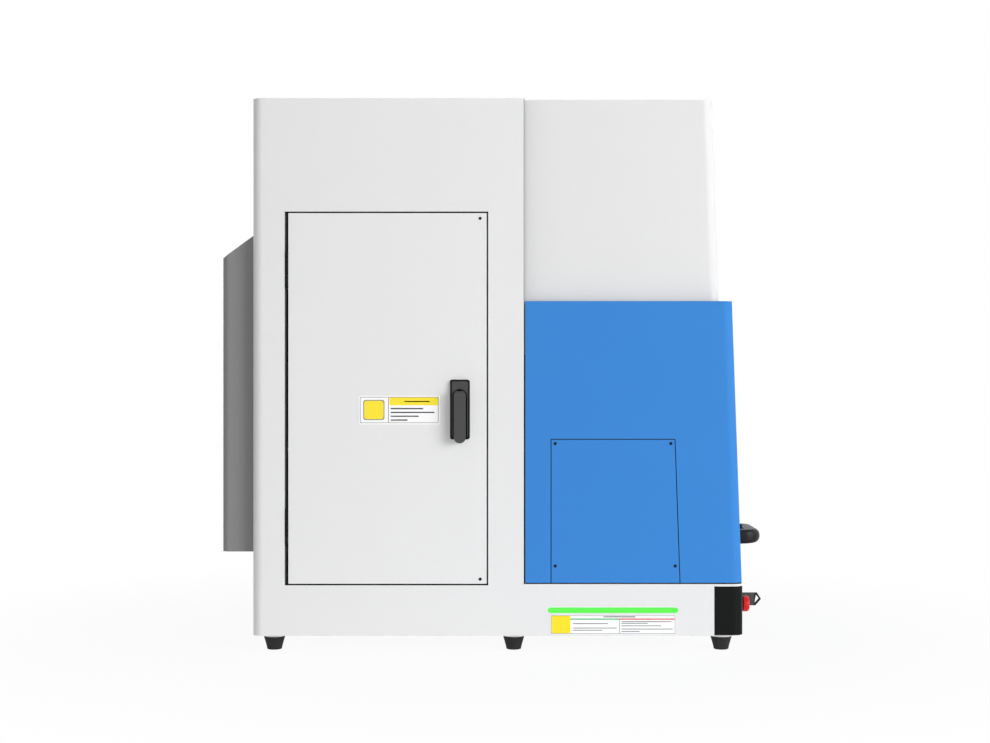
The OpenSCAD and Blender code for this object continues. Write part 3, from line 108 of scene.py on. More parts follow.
def add(tree, kind, operation=None, **inputs):
    """A shader node with some of its inputs put, by name."""
    node = tree.nodes.new("ShaderNode" + kind)
    if operation:
        node.operation = operation
    for name, value in inputs.items():
        put(tree, node.inputs[name.replace("_", " ")], value)
    return node


def calc(tree, operation, a, b):
    """A math node's result from two values or outputs."""
    node = add(tree, "Math", operation)
    put(tree, node.inputs[0], a)
    put(tree, node.inputs[1], b)
    return node.outputs[0]


def emptied(data, kind):
    """The emptied node tree of a material or world, and the socket for its surface."""
    data.use_nodes = True
    data.node_tree.nodes.clear()
    return data.node_tree, add(data.node_tree, kind).inputs["Surface"]


def white_where_seen(tree, shade, kind, share):
    """Mixes plain white light into a shader for camera, mirror and glass rays."""
    rays = add(tree, "LightPath").outputs
    seen = calc(tree, "MAXIMUM", rays["Is Camera Ray"], rays["Is Glossy Ray"])
    seen = calc(tree, "MAXIMUM", seen, rays["Is Transmission Ray"])
    white = add(tree, kind, Color=WHITE, Strength=1)
    mix = add(tree, "MixShader", Fac=calc(tree, "MULTIPLY", seen, share))
    put(tree, mix.inputs[1], shade)
    put(tree, mix.inputs[2], white.outputs[0])
    return mix.outputs[0]


scene.world = bpy.data.worlds.new("surroundings")
tree, surface = emptied(scene.world, "OutputWorld")
sky = add(tree, "Background", Color=WHITE, Strength=SKY_LIGHT)
put(tree, surface, white_where_seen(tree, sky.outputs[0], "Background", 1))

floor_mesh = bpy.data.meshes.new("floor")
floor_mesh.from_pydata([(x * FLOOR_HALF, y * FLOOR_HALF, 0)
                        for x, y in ((-1, -1), (1, -1), (1, 1), (-1, 1))], [], [(0, 1, 2, 3)])
floor = bpy.data.objects.new("floor", floor_mesh)
scene.collection.objects.link(floor)
floor_paint = bpy.data.materials.new("floor_paint")
tree, surface = emptied(floor_paint, "OutputMaterial")
distance = add(tree, "VectorMath", "LENGTH",
               Vector=add(tree, "TexCoord").outputs["Object"]).outputs["Value"]
glow = add(tree, "MapRange", Value=distance, From_Min=TABLE_GLOW_FADE[0],
           From_Max=TABLE_GLOW_FADE[1], To_Min=TABLE_GLOW, To_Max=0)
fade = add(tree, "MapRange", Value=distance, From_Min=FLOOR_FADE[0], From_Max=FLOOR_FADE[1],
           To_Min=FLOOR_WHITE)
fade.interpolation_type = "SMOOTHSTEP"
matt = add(tree, "BsdfDiffuse", Color=(0.9, 0.9, 0.9, 1))
light = add(tree, "Emission", Color=WHITE, Strength=glow.outputs["Result"])
table = add(tree, "AddShader")
put(tree, table.inputs[0], matt.outputs[0])
put(tree, table.inputs[1], light.outputs[0])
put(tree, surface, white_where_seen(tree, table.outputs[0], "Emission", fade.outputs["Result"]))
floor_mesh.materials.append(floor_paint)


# ---- Base and cabinet ----
# The tray, the deck, the two sides, the rear wall, the roof and the bulkhead are steel
# sheet, folded with small bend radii and screwed together inside. They are powder-coated
# in a pale grey with a fine, even grain.
SHEET_EDGE = 0.0005          # rounding that the coat gives to the sheet's cut edges
SHARP_ANGLE = radians(32)
BEVEL_ANGLE = radians(35)
FINISH = (("Color", "NodeSocketColor", WHITE), ("Grain", "NodeSocketFloat", 1000),
          ("Mottle", "NodeSocketFloat", 0.03), ("Roughness", "NodeSocketFloat", 0.5),
          ("Spread", "NodeSocketFloat", 0.1))


def new_group(name):
    """An empty group for a finish: its tree, what it is given, and where its results go."""
    tree = bpy.data.node_groups.new(name, "ShaderNodeTree")
    for label, kind, value in FINISH:
        tree.interface.new_socket(name=label, in_out="INPUT", socket_type=kind).default_value = value
    for label, kind in (("Color", "NodeSocketColor"), ("Roughness", "NodeSocketFloat"),
                        ("Height", "NodeSocketFloat")):
        tree.interface.new_socket(name=label, in_out="OUTPUT", socket_type=kind)
    return (tree, tree.nodes.new("NodeGroupInput").outputs, tree.nodes.new("NodeGroupOutput").inputs)


def noise(tree, where, scale, detail):
    """A noise texture's value, at a scale that is a number or an output."""
    return add(tree, "TexNoise", Vector=where, Scale=scale, Detail=detail).outputs["Fac"]


def around(tree, middle, amount, value):
    """The middle plus an amount of how far a value lies from a half."""
    return calc(tree, "ADD", middle, calc(tree, "MULTIPLY", amount, calc(tree, "SUBTRACT", value, 0.5)))


def vary(tree, given, result, tone, gloss, height):
    """Varies a finish's colour by one texture and its roughness by another."""
    tinted = add(tree, "VectorMath", "SCALE", Vector=given["Color"],
                 Scale=around(tree, 1, given["Mottle"], tone))
    put(tree, result["Color"], tinted.outputs["Vector"])
    put(tree, result["Roughness"], around(tree, given["Roughness"], given["Spread"], gloss))
    put(tree, result["Height"], height)


# Fine grain of a coat, a moulding or a casting, with slow changes of tone and gloss
surface_grain, given, result = new_group("surface_grain")
where = add(surface_grain, "TexCoord").outputs["Object"]
fine = noise(surface_grain, where, given["Grain"], 2)
speckle = noise(surface_grain, where, calc(surface_grain, "MULTIPLY", given["Grain"], 0.3), 1)
cloud = noise(surface_grain, where, 9.0, 3)
tone = calc(surface_grain, "ADD", calc(surface_grain, "MULTIPLY", cloud, 0.35),
            calc(surface_grain, "MULTIPLY", speckle, 0.65))
vary(surface_grain, given, result, tone, cloud, fine)


def finished(name, colour, roughness, grain, mottle, spread, group=surface_grain, **inputs):
    """A material of one Principled shader that takes colour and roughness from a group."""
    made = bpy.data.materials.new(name)
    tree, surface = emptied(made, "OutputMaterial")
    node = tree.nodes.new("ShaderNodeGroup")
    node.node_tree = group
    colour = colour if isinstance(colour, tuple) else (colour,) * 3
    for (label, _, _), value in zip(FINISH, ((*colour, 1), grain, mottle, roughness, spread)):
        node.inputs[label].default_value = value
    shader = add(tree, "BsdfPrincipled", **{"Base_Color": node.outputs["Color"],
                                            "Roughness": node.outputs["Roughness"], **inputs})
    put(tree, surface, shader.outputs["BSDF"])
    return made, tree, shader, node.outputs


def coated(name, colour, roughness, grain=1500, mottle=0.04, spread=0.1, microns=20,
           shine=0.2, metal=0.0, group=surface_grain):
    """An opaque material: a grey or a colour, with grains to the metre and their height."""
    made, tree, shader, out = finished(name, colour, roughness, grain, mottle, spread, group,
                                       Metallic=metal, Specular_IOR_Level=shine)
    bump = add(tree, "Bump", Strength=1, Distance=microns / 1e6, Height=out["Height"])
    put(tree, shader.inputs["Normal"], bump.outputs["Normal"])
    return made


def soften(part, edge, segments=2):
    """Rounds a piece's sharp edges and keeps its flat faces flat."""
    bevel = part.modifiers.new("edge", "BEVEL")
    bevel.width = edge
    bevel.segments = segments
    bevel.limit_method = "ANGLE"
    bevel.angle_limit = BEVEL_ANGLE
    part.modifiers.new("normals", "WEIGHTED_NORMAL").keep_sharp = True


def dress(paint, *parts, edge=SHEET_EDGE, segments=2):
    """Gives CAD pieces their material and rounds their edges a little."""
    for node in parts:
        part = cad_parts[node]
        for place in part.material_slots:
            place.material = paint
        part.modifiers.new("weld", "WELD").merge_threshold = 0.000002
        flat = part.modifiers.new("flat", "DECIMATE")
        flat.decimate_type = "DISSOLVE"
        flat.angle_limit = radians(0.5)
        soften(part, edge, segments)


grey_coat = coated("grey_coat", 0.8, 0.48)
dress(grey_coat, "base_tray", "base_deck", "rear_wall", "cabinet_roof", "bulkhead")
dress(grey_coat, "side_left", "side_right", edge=0.0003)

draft = bmesh.new()          # the shape being drawn; new_piece() turns it into a piece


def point(axis, t, u, v):
    """The point at t along an axis, with its other two coordinates u and v in order."""
    return Vector({"x": (t, u, v), "y": (u, t, v), "z": (u, v, t)}[axis])


def polar(r, a, at=(0, 0)):
    """The place at a distance and an angle from another."""
    return (at[0] + r * cos(a), at[1] + r * sin(a))


def circle(r, steps=32, at=(0, 0)):
    """Outline of a circle about a place."""
    return [polar(r, tau * k / steps, at) for k in range(steps)]


def ribbed(r, dent, count, at):
    """Outline of a circle with a number of ribs, each as high as the dent."""
    return [polar(r - (dent if k % 2 else 0), pi * k / count, at) for k in range(2 * count)]


def round_box(y0, y1, z0, z1, r, steps=6):
    """Outline of a rectangle with round corners between two corners."""
    corners = ((y1 - r, z1 - r), (y0 + r, z1 - r), (y0 + r, z0 + r), (y1 - r, z0 + r))
    return [polar(r, radians(90 * (k + i / steps)), at)
            for k, at in enumerate(corners) for i in range(steps + 1)]


def skin(rings, loop=False, paint=0):
    """Skins a row of closed rings; its ends are capped, or joined to make a loop."""
    made = [[draft.verts.new(p) for p in ring] for ring in rings]
    faces = []
    if loop:
        made.append(made[0])
    else:
        faces += [draft.faces.new(made[0][::-1]), draft.faces.new(made[-1])]
    for a, b in zip(made, made[1:]):
        for i in range(len(a)):
            j = (i + 1) % len(a)
            faces.append(draft.faces.new((a[i], a[j], b[j], b[i])))
    for face in faces:
        face.material_index = paint


def stack(axis, outlines, loop=True, paint=0):
    """Skins outlines that are given with their places along an axis."""
    skin([[point(axis, t, *p) for p in outline] for t, outline in outlines], loop, paint)


def slab(outline, axis, lo, hi, paint=0):
    """A solid of one outline between two places along an axis."""
    stack(axis, ((lo, outline), (hi, outline)), False, paint)


def brick(lo, hi, paint=0):
    """A rectangular solid between two corners."""
    slab(((lo[0], lo[1]), (hi[0], lo[1]), (hi[0], hi[1]), (lo[0], hi[1])), "z", lo[2], hi[2], paint)


def turned(axis, at, profile, steps=32, paint=0, base=0):
    """Turns a profile of (radius, place along the axis from the base) pairs about an axis."""
    ring_shaped = profile[0] == profile[-1]
    stack(axis, [(base + t, circle(r, steps, at))
                 for r, t in (profile[:-1] if ring_shaped else profile)], ring_shaped, paint)


def middle(node, *axes):
    """Middle of a node's box along some axes, by number."""
    lo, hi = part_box(node)
    return [(lo[i] + hi[i]) / 2 for i in axes]


def new_piece(name, body, slot, *paints, stands_for=None, edge=0.0, segments=2):
    """Turns the drawn shape into a piece that rides on a body, or on none yet."""
    bmesh.ops.remove_doubles(draft, verts=draft.verts, dist=0.000001)
    bmesh.ops.recalc_face_normals(draft, faces=draft.faces)
    for face in draft.faces:
        face.smooth = True
    mesh = bpy.data.meshes.new(name)
    draft.to_mesh(mesh)
    draft.clear()
    for paint in paints:
        mesh.materials.append(paint)
    part = bpy.data.objects.new(name, mesh)
    scene.collection.objects.link(part)
    if edge:
        soften(part, edge, segments)
    else:
        mesh.set_sharp_from_angle(angle=SHARP_ANGLE)
    if body:
        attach(part, body)
    if stands_for:
        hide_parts(stands_for)
    return part


# ---- Door seal ----
# A strip of rubber is glued round the rim of the door's opening. Its near-black colour is
# painted shade: it makes the gap round the leaf dark. Beside the hinges it is thicker and of
# a greyer rubber, whose grey paints the shade of the gap on that side.
SEAL_T = 0.0015
SEAL_HINGE_T = 0.0022
SEAL_FRONT = 0.0002          # how far the strip lies behind the side's face
SEAL_DEPTH = 0.0145
RIM_FRONT_Y = 0.0155
RIM_REAR_Y = 0.3412
RIM_Z = (0.111, 0.7094)

rubber = coated("rubber", 0.019, 0.75, 900, 0.25, 0.2, 40, 0.25)
# Near-black and grey rubbers whose colours paint the shade in gaps: round the door, under the hood's
# lower edge and beside the upper housing.
shade_black_rubber = coated("shade_black_rubber", 0.007, 0.8, 900, 0.2, 0.2, 40, 0.08)
shade_grey_rubber = coated("shade_grey_rubber", 0.052, 0.75, 900, 0.2, 0.2, 40)
seal_x = (door_side + SEAL_FRONT, door_side + SEAL_FRONT + SEAL_DEPTH)
low_z, high_z = RIM_Z[0] + SEAL_T, RIM_Z[1] - SEAL_T
slab(((RIM_REAR_Y, RIM_Z[0]), (RIM_FRONT_Y, RIM_Z[0]), (RIM_FRONT_Y, RIM_Z[1]),
      (RIM_REAR_Y, RIM_Z[1]), (RIM_REAR_Y, high_z), (RIM_FRONT_Y + SEAL_T, high_z),
      (RIM_FRONT_Y + SEAL_T, low_z), (RIM_REAR_Y, low_z)), "x", *seal_x)
slab(((RIM_REAR_Y, low_z), (RIM_REAR_Y, high_z), (RIM_REAR_Y - SEAL_HINGE_T, high_z),
      (RIM_REAR_Y - SEAL_HINGE_T, low_z)), "x", *seal_x, 1)
new_piece("door_seal", "frame", "rubber", shade_black_rubber, shade_grey_rubber)


# ---- Control panel and its controls ----
# The black panel is folded sheet that wraps the front of the base. A red mushroom button
# in a ribbed collar stops the machine, and a flat key turns in a plated barrel beside it.
RIBS = 36
RIB_H = 0.0005
CONTACTS = 0.014             # half the width of the stop's contact block

black_coat = coated("black_coat", (0.0085, 0.009, 0.009), 0.4, mottle=0.2, shine=0.05)
dress(black_coat, "control_panel")
red_plastic = coated("red_plastic", (0.76, 0.018, 0.022), 0.32, 500, 0.05, 0.08, 10)
black_plastic = coated("black_plastic", (0.03, 0.03, 0.031), 0.45, 2200, 0.15, 0.12, 30, 0.3)
button_lo, button_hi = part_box("estop_button")
button_at = middle("estop_button", 0, 2)
button_r = (button_hi.z - button_lo.z) / 2
button_back = button_hi.y - button_lo.y
turned("y", button_at, [
    (0, 0), (0.007, 0.0001), (0.0074, 0.0005), (0.0078, 0.0002), (0.0102, 0.0004),
    (0.0114, 0.0009), (0.0122, 0.0018), (button_r - 0.0003, 0.0036), (button_r, 0.0054),
    (button_r, 0.0098), (button_r - 0.0006, 0.0107), (button_r - 0.0016, 0.011),
    (0.005, 0.011), (0.005, button_back), (0, button_back)], 48, base=button_lo.y)
new_piece("stop_button", "estop", "red_plastic", red_plastic, stands_for="estop_button")

collar_lo, collar_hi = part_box("estop_collar")
panel_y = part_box("control_panel")[0].y
collar_r = button_r - 0.0005
ribs = ribbed(collar_r, RIB_H, RIBS, button_at)
bore = circle(0.0052, 2 * RIBS, button_at)
stack("y", ((panel_y, ribs), (collar_lo.y + 0.0012, ribs),
            (collar_lo.y, circle(collar_r - 0.0012, 2 * RIBS, button_at)),
            (collar_lo.y, bore), (panel_y, bore)))
brick((button_at[0] - CONTACTS, panel_y + 0.002, button_at[1] - CONTACTS),
      (button_at[0] + CONTACTS, collar_hi.y, button_at[1] + CONTACTS))
new_piece("stop_collar", "frame", "black_plastic", black_plastic, stands_for="estop_collar")

plated = coated("plated_steel", (0.62, 0.62, 0.63), 0.3, 700, 0.12, 0.15, 8, 0.5, 1.0)
lock_lo, lock_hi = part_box("key_lock")
lock_at = middle("key_lock", 0, 2)
lock_r = (lock_hi.z - lock_lo.z) / 2
turned("y", lock_at, [
    (0.00555, lock_hi.y), (0.0075, lock_hi.y), (0.0075, panel_y), (lock_r, panel_y),
    (lock_r, lock_lo.y + 0.0022), (lock_r - 0.0008, lock_lo.y + 0.0012),
    (lock_r - 0.0022, lock_lo.y + 0.0004), (0.0068, lock_lo.y), (0.00555, lock_lo.y),
    (0.00555, lock_hi.y)], 40)
new_piece("key_barrel", "frame", "steel", plated, stands_for="key_lock")

# The key is a flat blade with a grey moulded grip and a black end with a three-sided eye.
# Its outlines are (distance behind the tip, height) pairs.
KEY_EYE = ((0.0039, 0.001), (0.0084, 0.0066), (0.0088, 0.0064), (0.0111, -0.0062), (0.0107, -0.0064))
KEY_END = ((0, 0), (0.007, 0.011), (0.011, 0.011), (0.0136, -0.011), (0.0097, -0.011))
KEY_NECK = 0.004             # half the height of the neck
KEY_SHOULDER = 0.016         # distance of the grip's shoulders before the panel
KEY_HALF = 0.0012            # half the blade's thickness

key_lo, key_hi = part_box("key")
key_at = middle("key", 0, 2)
core_r = (key_hi.x - key_lo.x) / 2
shoulder = panel_y - KEY_SHOULDER
neck_y = lock_lo.y + 0.0002


def key_points(points):
    """Places on the key's side, from pairs of one of its outlines."""
    return [(key_lo.y + back, key_at[1] + up) for back, up in points]


stack("x", [(key_at[0] + side * KEY_HALF, key_points(ring)) for ring, side in (
    (KEY_END, -1), (KEY_END, 1), (KEY_EYE, 1), (KEY_EYE, -1))], paint=1)
slab(key_points((KEY_END[3], KEY_END[2])) + [
    (shoulder, key_at[1] + 0.011), (shoulder + KEY_NECK, key_at[1] + KEY_NECK),
    (neck_y, key_at[1] + KEY_NECK), (neck_y, key_at[1] - KEY_NECK),
    (shoulder + KEY_NECK, key_at[1] - KEY_NECK), (shoulder, key_at[1] - 0.011)],
    "x", key_at[0] - KEY_HALF, key_at[0] + KEY_HALF)
turned("y", key_at, [(0, lock_lo.y), (core_r - 0.0004, lock_lo.y), (core_r, lock_lo.y + 0.0004),
                     (core_r, key_hi.y), (0, key_hi.y)], 24)
key_grip = coated("key_grip", (0.058, 0.062, 0.06), 0.42, 900, 0.2, 0.15, 10, 0.3)
key_end = coated("key_end", 0.014, 0.42, 900, 0.2, 0.15, 10)
new_piece("flat_key", "key_core", "black_plastic", key_grip, key_end, stands_for="key", edge=0.0003)


# ---- Feet ----
# Six moulded rubber feet taper to the floor. A painted spacer lies between each foot and
# the tray, and a plated bolt holds both from below.
FOOT_R = 0.017
SPACER_R = 0.01
SPACER_H = 0.0085
WASHER_R = 0.0166            # the spacer's foot is a wide washer
WASHER_T = 0.0012
FOOT_BORE = 0.0045
MIDDLE_FOOT_Y = -0.026

feet_lo, feet_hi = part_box("rubber_feet")
foot_x = feet_hi.x - FOOT_R
foot_top = feet_hi.z - SPACER_H
for x in (-foot_x, foot_x):
    for y in (feet_lo.y + FOOT_R, MIDDLE_FOOT_Y, feet_hi.y - FOOT_R):
        turned("z", (x, y), [
            (FOOT_BORE, 0.008), (0.008, 0.008), (0.008, 0.0004), (0.0084, 0), (0.0104, 0),
            (0.0115, 0.0004), (0.0122, 0.0016), (0.0128, 0.005),
            (FOOT_R - 0.0004, foot_top - 0.003), (FOOT_R, foot_top - 0.0018),
            (FOOT_R, foot_top - 0.0005), (FOOT_R - 0.0005, foot_top), (FOOT_BORE, foot_top),
            (FOOT_BORE, 0.008)], 48)
        turned("z", (x, y), [
            (FOOT_BORE, foot_top), (WASHER_R, foot_top), (WASHER_R, foot_top + WASHER_T),
            (SPACER_R, foot_top + WASHER_T), (SPACER_R, feet_hi.z), (FOOT_BORE, feet_hi.z),
            (FOOT_BORE, foot_top)], 48, 1)
new_piece("feet", "frame", "rubber", rubber, grey_coat, stands_for="rubber_feet")
dress(plated, "foot_bolts", edge=0.0003)


# ---- Status light ----
# A milky acrylic strip in each side of the base is lit green from behind. Its own colour
# is dark, so that the glow and not the lamps makes its look.
GLOW_POWER = 0.95

lens, tree, shader, out = finished(
    "green_lens", (0.128, 1.0, 0.098), 0.35, 60, 0.1, 0.1, Roughness=0.45,
    Specular_IOR_Level=0.15, Emission_Strength=GLOW_POWER)
dim = add(tree, "VectorMath", "SCALE", Vector=out["Color"], Scale=0.05)
put(tree, shader.inputs["Base Color"], dim.outputs["Vector"])
put(tree, shader.inputs["Emission Color"], out["Color"])
dress(lens, "status_lights", edge=0.0004)


# ---- Labels ----
# Thin printed film on a white backing is stuck on the door and on the base. Both show
# plain fields of colour and ruled lines.
FILM_T = 0.0004
PRINT_T = 0.00005
FIELD_ROUND = 0.0006
PRINTS = (("white_film", 0.96), ("grey_print", 0.16), ("yellow_print", (0.96, 0.77, 0.015)),
          ("dark_print", 0.012), ("green_print", (0.03, 0.42, 0.12)),
          ("red_print", (0.7, 0.03, 0.04)))
GREY, YELLOW, DARK_LINE, GREEN, RED = 1, 2, 3, 4, 5    # places in that list

prints = [coated(name, colour, 0.35, 400, 0.03, 0.08, 4, 0.3) for name, colour in PRINTS]
print_x = (door_side - FILM_T - PRINT_T, door_side - FILM_T + PRINT_T)


def ruled(y0, y1, z0, z1, r, width):
    """A ruled line of grey print round a field."""
    near, far = print_x
    outer, inner = (round_box(y0 + inset, y1 - inset, z0 + inset, z1 - inset, r) for inset in (0, width))
    stack("x", ((near, outer), (far, outer), (far, inner), (near, inner)), paint=GREY)


def label(name, body, y, z, frame_inset, frame_w, fields, framed=None):
    """A label on the door's side: a film, a ruled frame, and fields above it."""
    slab(round_box(*y, *z, 0.003), "x", door_side - FILM_T, door_side)
    ruled(y[0] + frame_inset, y[1] - frame_inset, z[0] + frame_inset, z[1] - frame_inset, 0.0016, frame_w)
    if framed:
        y0, y1, z0, z1 = framed
        slab(round_box(y0, y1, z0, z1, 0.0036, 4), "x", *print_x, YELLOW)
        ruled(y0 - 0.0014, y1 + 0.0014, z0 - 0.0014, z1 + 0.0014, 0.004, 0.0013)
    for paint, y0, y1, z0, z1, r in fields:
        slab(round_box(y0, y1, z0, z1, r, 3), "x", *print_x, paint)
    new_piece(name, body, "white_paint", *prints)


fields = [(YELLOW, 0.0958, 0.1736, 0.3992, 0.4118, FIELD_ROUND),
          (GREY, 0.1746, 0.1756, 0.371, 0.4123, 0.0003),
          (DARK_LINE, 0.1093, 0.1496, 0.4044, 0.4062, 0.0004)]
for row, width in enumerate((0.052, 0.07, 0.045, 0.027)):
    z = 0.3939 - 0.0061 * row
    fields.append((DARK_LINE, 0.1717 - width, 0.1717, z - 0.001, z + 0.001, 0.0004))
label("door_label", "door", (0.0928, 0.2228), (0.3686, 0.4147), 0.0022, 0.0008, fields,
      (0.183, 0.214, 0.377, 0.4065))

fields = [(YELLOW, -0.1161, -0.0863, 0.0343, 0.0625, FIELD_ROUND),
          (GREEN, -0.1949, -0.1161, 0.056, 0.0579, 0.0003),
          (RED, -0.2832, -0.1949, 0.056, 0.0579, 0.0003),
          (GREY, -0.1953, -0.1945, 0.0343, 0.056, 0.0002),
          (DARK_LINE, -0.22, -0.169, 0.0599, 0.0612, 0.0004)]
for start, rows in ((-0.1203, ((0.056, 0.0497), (0.07, 0.0426), (0.047, 0.0391))),
                    (-0.1978, ((0.08, 0.0529), (0.042, 0.0503), (0.064, 0.0462),
                               (0.082, 0.041), (0.029, 0.0371)))):
    for width, z in rows:
        fields.append((DARK_LINE, start - width, start, z - 0.0005, z + 0.0005, 0.0003))
label("base_label", "frame", (-0.2846, -0.0846), (0.0329, 0.0635), 0.0007, 0.0006, fields)


# ---- Rear cover and fans ----
# A painted hood of sheet, open below, stands off the rear wall over two fans. Each fan is
# moulded: a square frame, a motor on four struts and seven twisted blades behind a wire guard.
BLADES = 7
STATIONS = 6                 # sections along a blade
BLADE_SECTION = ((0, 0), (0.1, 0.7), (0.3, 1), (0.6, 0.8), (0.85, 0.45), (1, 0.1), (0.85, -0.1),
                 (0.6, -0.2), (0.3, -0.3), (0.1, -0.35))    # shares of chord and thickness
ROTOR_BACK = 0.005           # the rotor's place and depth inside the frame
ROTOR_DEPTH = 0.026
HUB_R = 0.02
TIP_R = 0.055
BARREL_R = 0.0595
FLANGE_T = 0.005
WIRE_R = 0.0009

# The cover's dark grey is painted shade: it stands for a pale coat left dark by the shade behind the
# cabinet.
cover_shade_coat = coated("cover_shade_coat", 0.245, 0.5, mottle=0.08)
dress(cover_shade_coat, "rear_vent_cover", edge=0.0007)
fan_lo, fan_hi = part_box("fan_frames")
wall_y = fan_hi.y
fan_z = (fan_lo.z + fan_hi.z) / 2
fan_half = (fan_hi.z - fan_lo.z) / 2
fan_x = fan_hi.x - fan_half
for x in (-fan_x, fan_x):
    outer = round_box(x - fan_half, x + fan_half, fan_z - fan_half, fan_z + fan_half, 0.006, 15)
    turns = [atan2(pz - fan_z, px - x) for px, pz in outer]
    opening, barrel = ([polar(r, a, (x, fan_z)) for a in turns] for r in (TIP_R + 0.002, BARREL_R))
    stack("y", ((fan_lo.y, outer), (fan_lo.y + FLANGE_T, outer), (fan_lo.y + FLANGE_T, barrel),
                (wall_y - FLANGE_T, barrel), (wall_y - FLANGE_T, outer), (wall_y, outer),
                (wall_y, opening), (fan_lo.y, opening)))
    turned("y", (x, fan_z), [(0, 0), (0.016, 0), (0.018, 0.0015), (0.018, 0.004),
                             (0.0039, 0.004), (0.0039, 0.03), (0, 0.03)], 40, base=fan_lo.y)
    for k in range(4):
        a = radians(45 + 90 * k)
        along = Vector((cos(a), 0, sin(a)))
        side = Vector((-along.z, 0, along.x)) * 0.0025
        start = Vector((x, fan_lo.y, fan_z))
        skin([[start + along * r + side * s + Vector((0, t, 0))
               for s, t in ((-1, 0), (1, 0), (0.7, 0.004), (-0.7, 0.004))]
              for r in (0.017, 0.058)])
new_piece("fan_housings", "frame", "black_plastic", black_plastic, stands_for="fan_frames")

y0 = fan_lo.y + ROTOR_BACK
y1 = y0 + ROTOR_DEPTH
for hand, x in (("left", -fan_x), ("right", fan_x)):
    turned("y", (x, fan_z), [
        (0.0041, y0), (HUB_R - 0.001, y0), (HUB_R, y0 + 0.001), (HUB_R, y1 - 0.003),
        (HUB_R - 0.001, y1 - 0.001), (HUB_R - 0.003, y1), (0.0041, y1), (0.0041, y0)], 48)
    for k in range(BLADES):
        rings = []
        for s in range(STATIONS):
            share = s / (STATIONS - 1)
            r = HUB_R - 0.001 + (TIP_R - HUB_R + 0.001) * share
            pitch = radians(50 - 22 * share)
            chord = 0.024 + 0.018 * share
            ring = []
            for c, t in BLADE_SECTION:
                across = (c - 0.5) * chord
                thick = 0.0011 * t + 0.1 * chord * sin(pi * c)
                flat = across * cos(pitch) - thick * sin(pitch)
                deep = across * sin(pitch) + thick * cos(pitch)
                deep = max(-ROTOR_DEPTH / 2, min(ROTOR_DEPTH / 2, deep))
                a = tau * k / BLADES + flat / r + 0.25 * share
                ring.append(point("y", (y0 + y1) / 2 + deep, *polar(r, a, (x, fan_z))))
            rings.append(ring)
        skin(rings)
    new_piece("rotor_" + hand, "fan_" + hand, "black_plastic", black_plastic,
              stands_for="fan_rotor_" + hand)


def round_section(at, r, side, steps, way):
    """A round section about a point of a path, across its way."""
    other = way.cross(side)
    return [at + r * (c * side + s * other) for c, s in circle(1, steps)]


def wire(path, r, loop=False):
    """A round wire along a path of points."""
    rings = []
    n = len(path)
    for i, at in enumerate(path):
        ahead = path[(i + 1) % n] if loop else path[min(i + 1, n - 1)]
        behind = path[i - 1] if loop or i else path[0]
        way = (ahead - behind).normalized()
        rings.append(round_section(at, r, way.cross(Vector((0.13, 1, 0.21))).normalized(), 8, way))
    skin(rings, loop=loop)


guard_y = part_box("fan_guards")[0].y
for x in (-fan_x, fan_x):
    for r in (0.015, 0.028, 0.041, 0.054):
        wire([point("y", guard_y + 0.0012, *p) for p in circle(r, 48, (x, fan_z))], WIRE_R, True)
    for k in range(4):
        a = radians(45 + 90 * k)
        way = Vector((cos(a), 0, sin(a)))
        start = Vector((x, guard_y + 0.002, fan_z))
        wire([start + way * 0.0135, start + way * 0.064], WIRE_R)
        eye = start + way * 0.0665
        wire([eye + Vector((dx, -0.0008, dz)) for dx, dz in circle(0.0028, 16)], 0.0008, True)
new_piece("wire_guards", "frame", "steel", plated, stands_for="fan_guards")


# ---- Mains inlet ----
# A shallow folded box low on the rear carries a moulded inlet with three flat pins and a
# red rocker switch. Two screws hold its flange.
PIN = (0.002, 0.014, 0.004)
PIN_DEPTH = 0.0185           # of the pins' back ends behind the inlet's face
PINS_LOW = 0.011             # how far the pins lie below the inlet's middle

dress(grey_coat, "connector_box")
dress(black_plastic, "power_inlet", edge=0.0008)
dress(red_plastic, "power_switch", edge=0.0006)
inlet_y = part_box("power_inlet")[1].y
inlet_x, inlet_z = middle("power_inlet", 0, 2)
inlet_z -= PINS_LOW
for dx, dz in ((-0.007, -0.002), (0.007, -0.002), (0, 0.002)):
    lo = Vector((inlet_x + dx - PIN[0] / 2, inlet_y - PIN_DEPTH, inlet_z + dz - PIN[2] / 2))
    brick(lo, lo + Vector(PIN))
new_piece("inlet_pins", "frame", "steel", plated, edge=0.0004)


def recess(k, kind):
    """Share of the head's radius that a drive recess reaches at step k of 24."""
    if kind == "cross":
        return (0.52, 0.26, 0.16, 0.15, 0.16, 0.26)[k % 6]
    turn = radians(15 * (k % 4) - 30)
    return 0.52 * cos(radians(30)) / cos(turn)


def screw_head(at, out, r, h, kind="cross", paint=0):
    """A screw's head on a surface: a domed one with a cross, or a tall one with a hexagon."""
    spin = Vector(out).to_track_quat("Z", "Y").to_matrix()
    sides = [(1, 0), (1, 0.45), (0.93, 0.75), (0.7, 1)] if kind == "cross" else [
        (1, 0), (1, 0.9), (0.93, 1)]
    rings = [[(share, up)] * 24 for share, up in sides]
    rings += [[(recess(k, kind), up) for k in range(24)] for up in (1, 0.4)]
    skin([[Vector(at) + spin @ Vector((*polar(r * share, radians(15 * k)), h * up))
           for k, (share, up) in enumerate(ring)] for ring in rings], paint=paint)


for x in (-0.02, 0.02):
    screw_head((inlet_x + x, inlet_y, inlet_z + PINS_LOW), (0, 1, 0), 0.0025, 0.0012)
new_piece("inlet_screws", "frame", "steel", plated)


# ---- Equipment ----
# A laser source with cooling fins stands on a folded shelf. The control unit and the power
# supply stand on the tray, and breakers clip to a rail on the bulkhead above slotted duct.
DUCT = (0.16, 0.04, 0.032)
DUCT_TEETH = 20
DUCT_WALL = 0.0015
BREAKER_STEP = 0.027
TERMINAL_STEP = 0.013

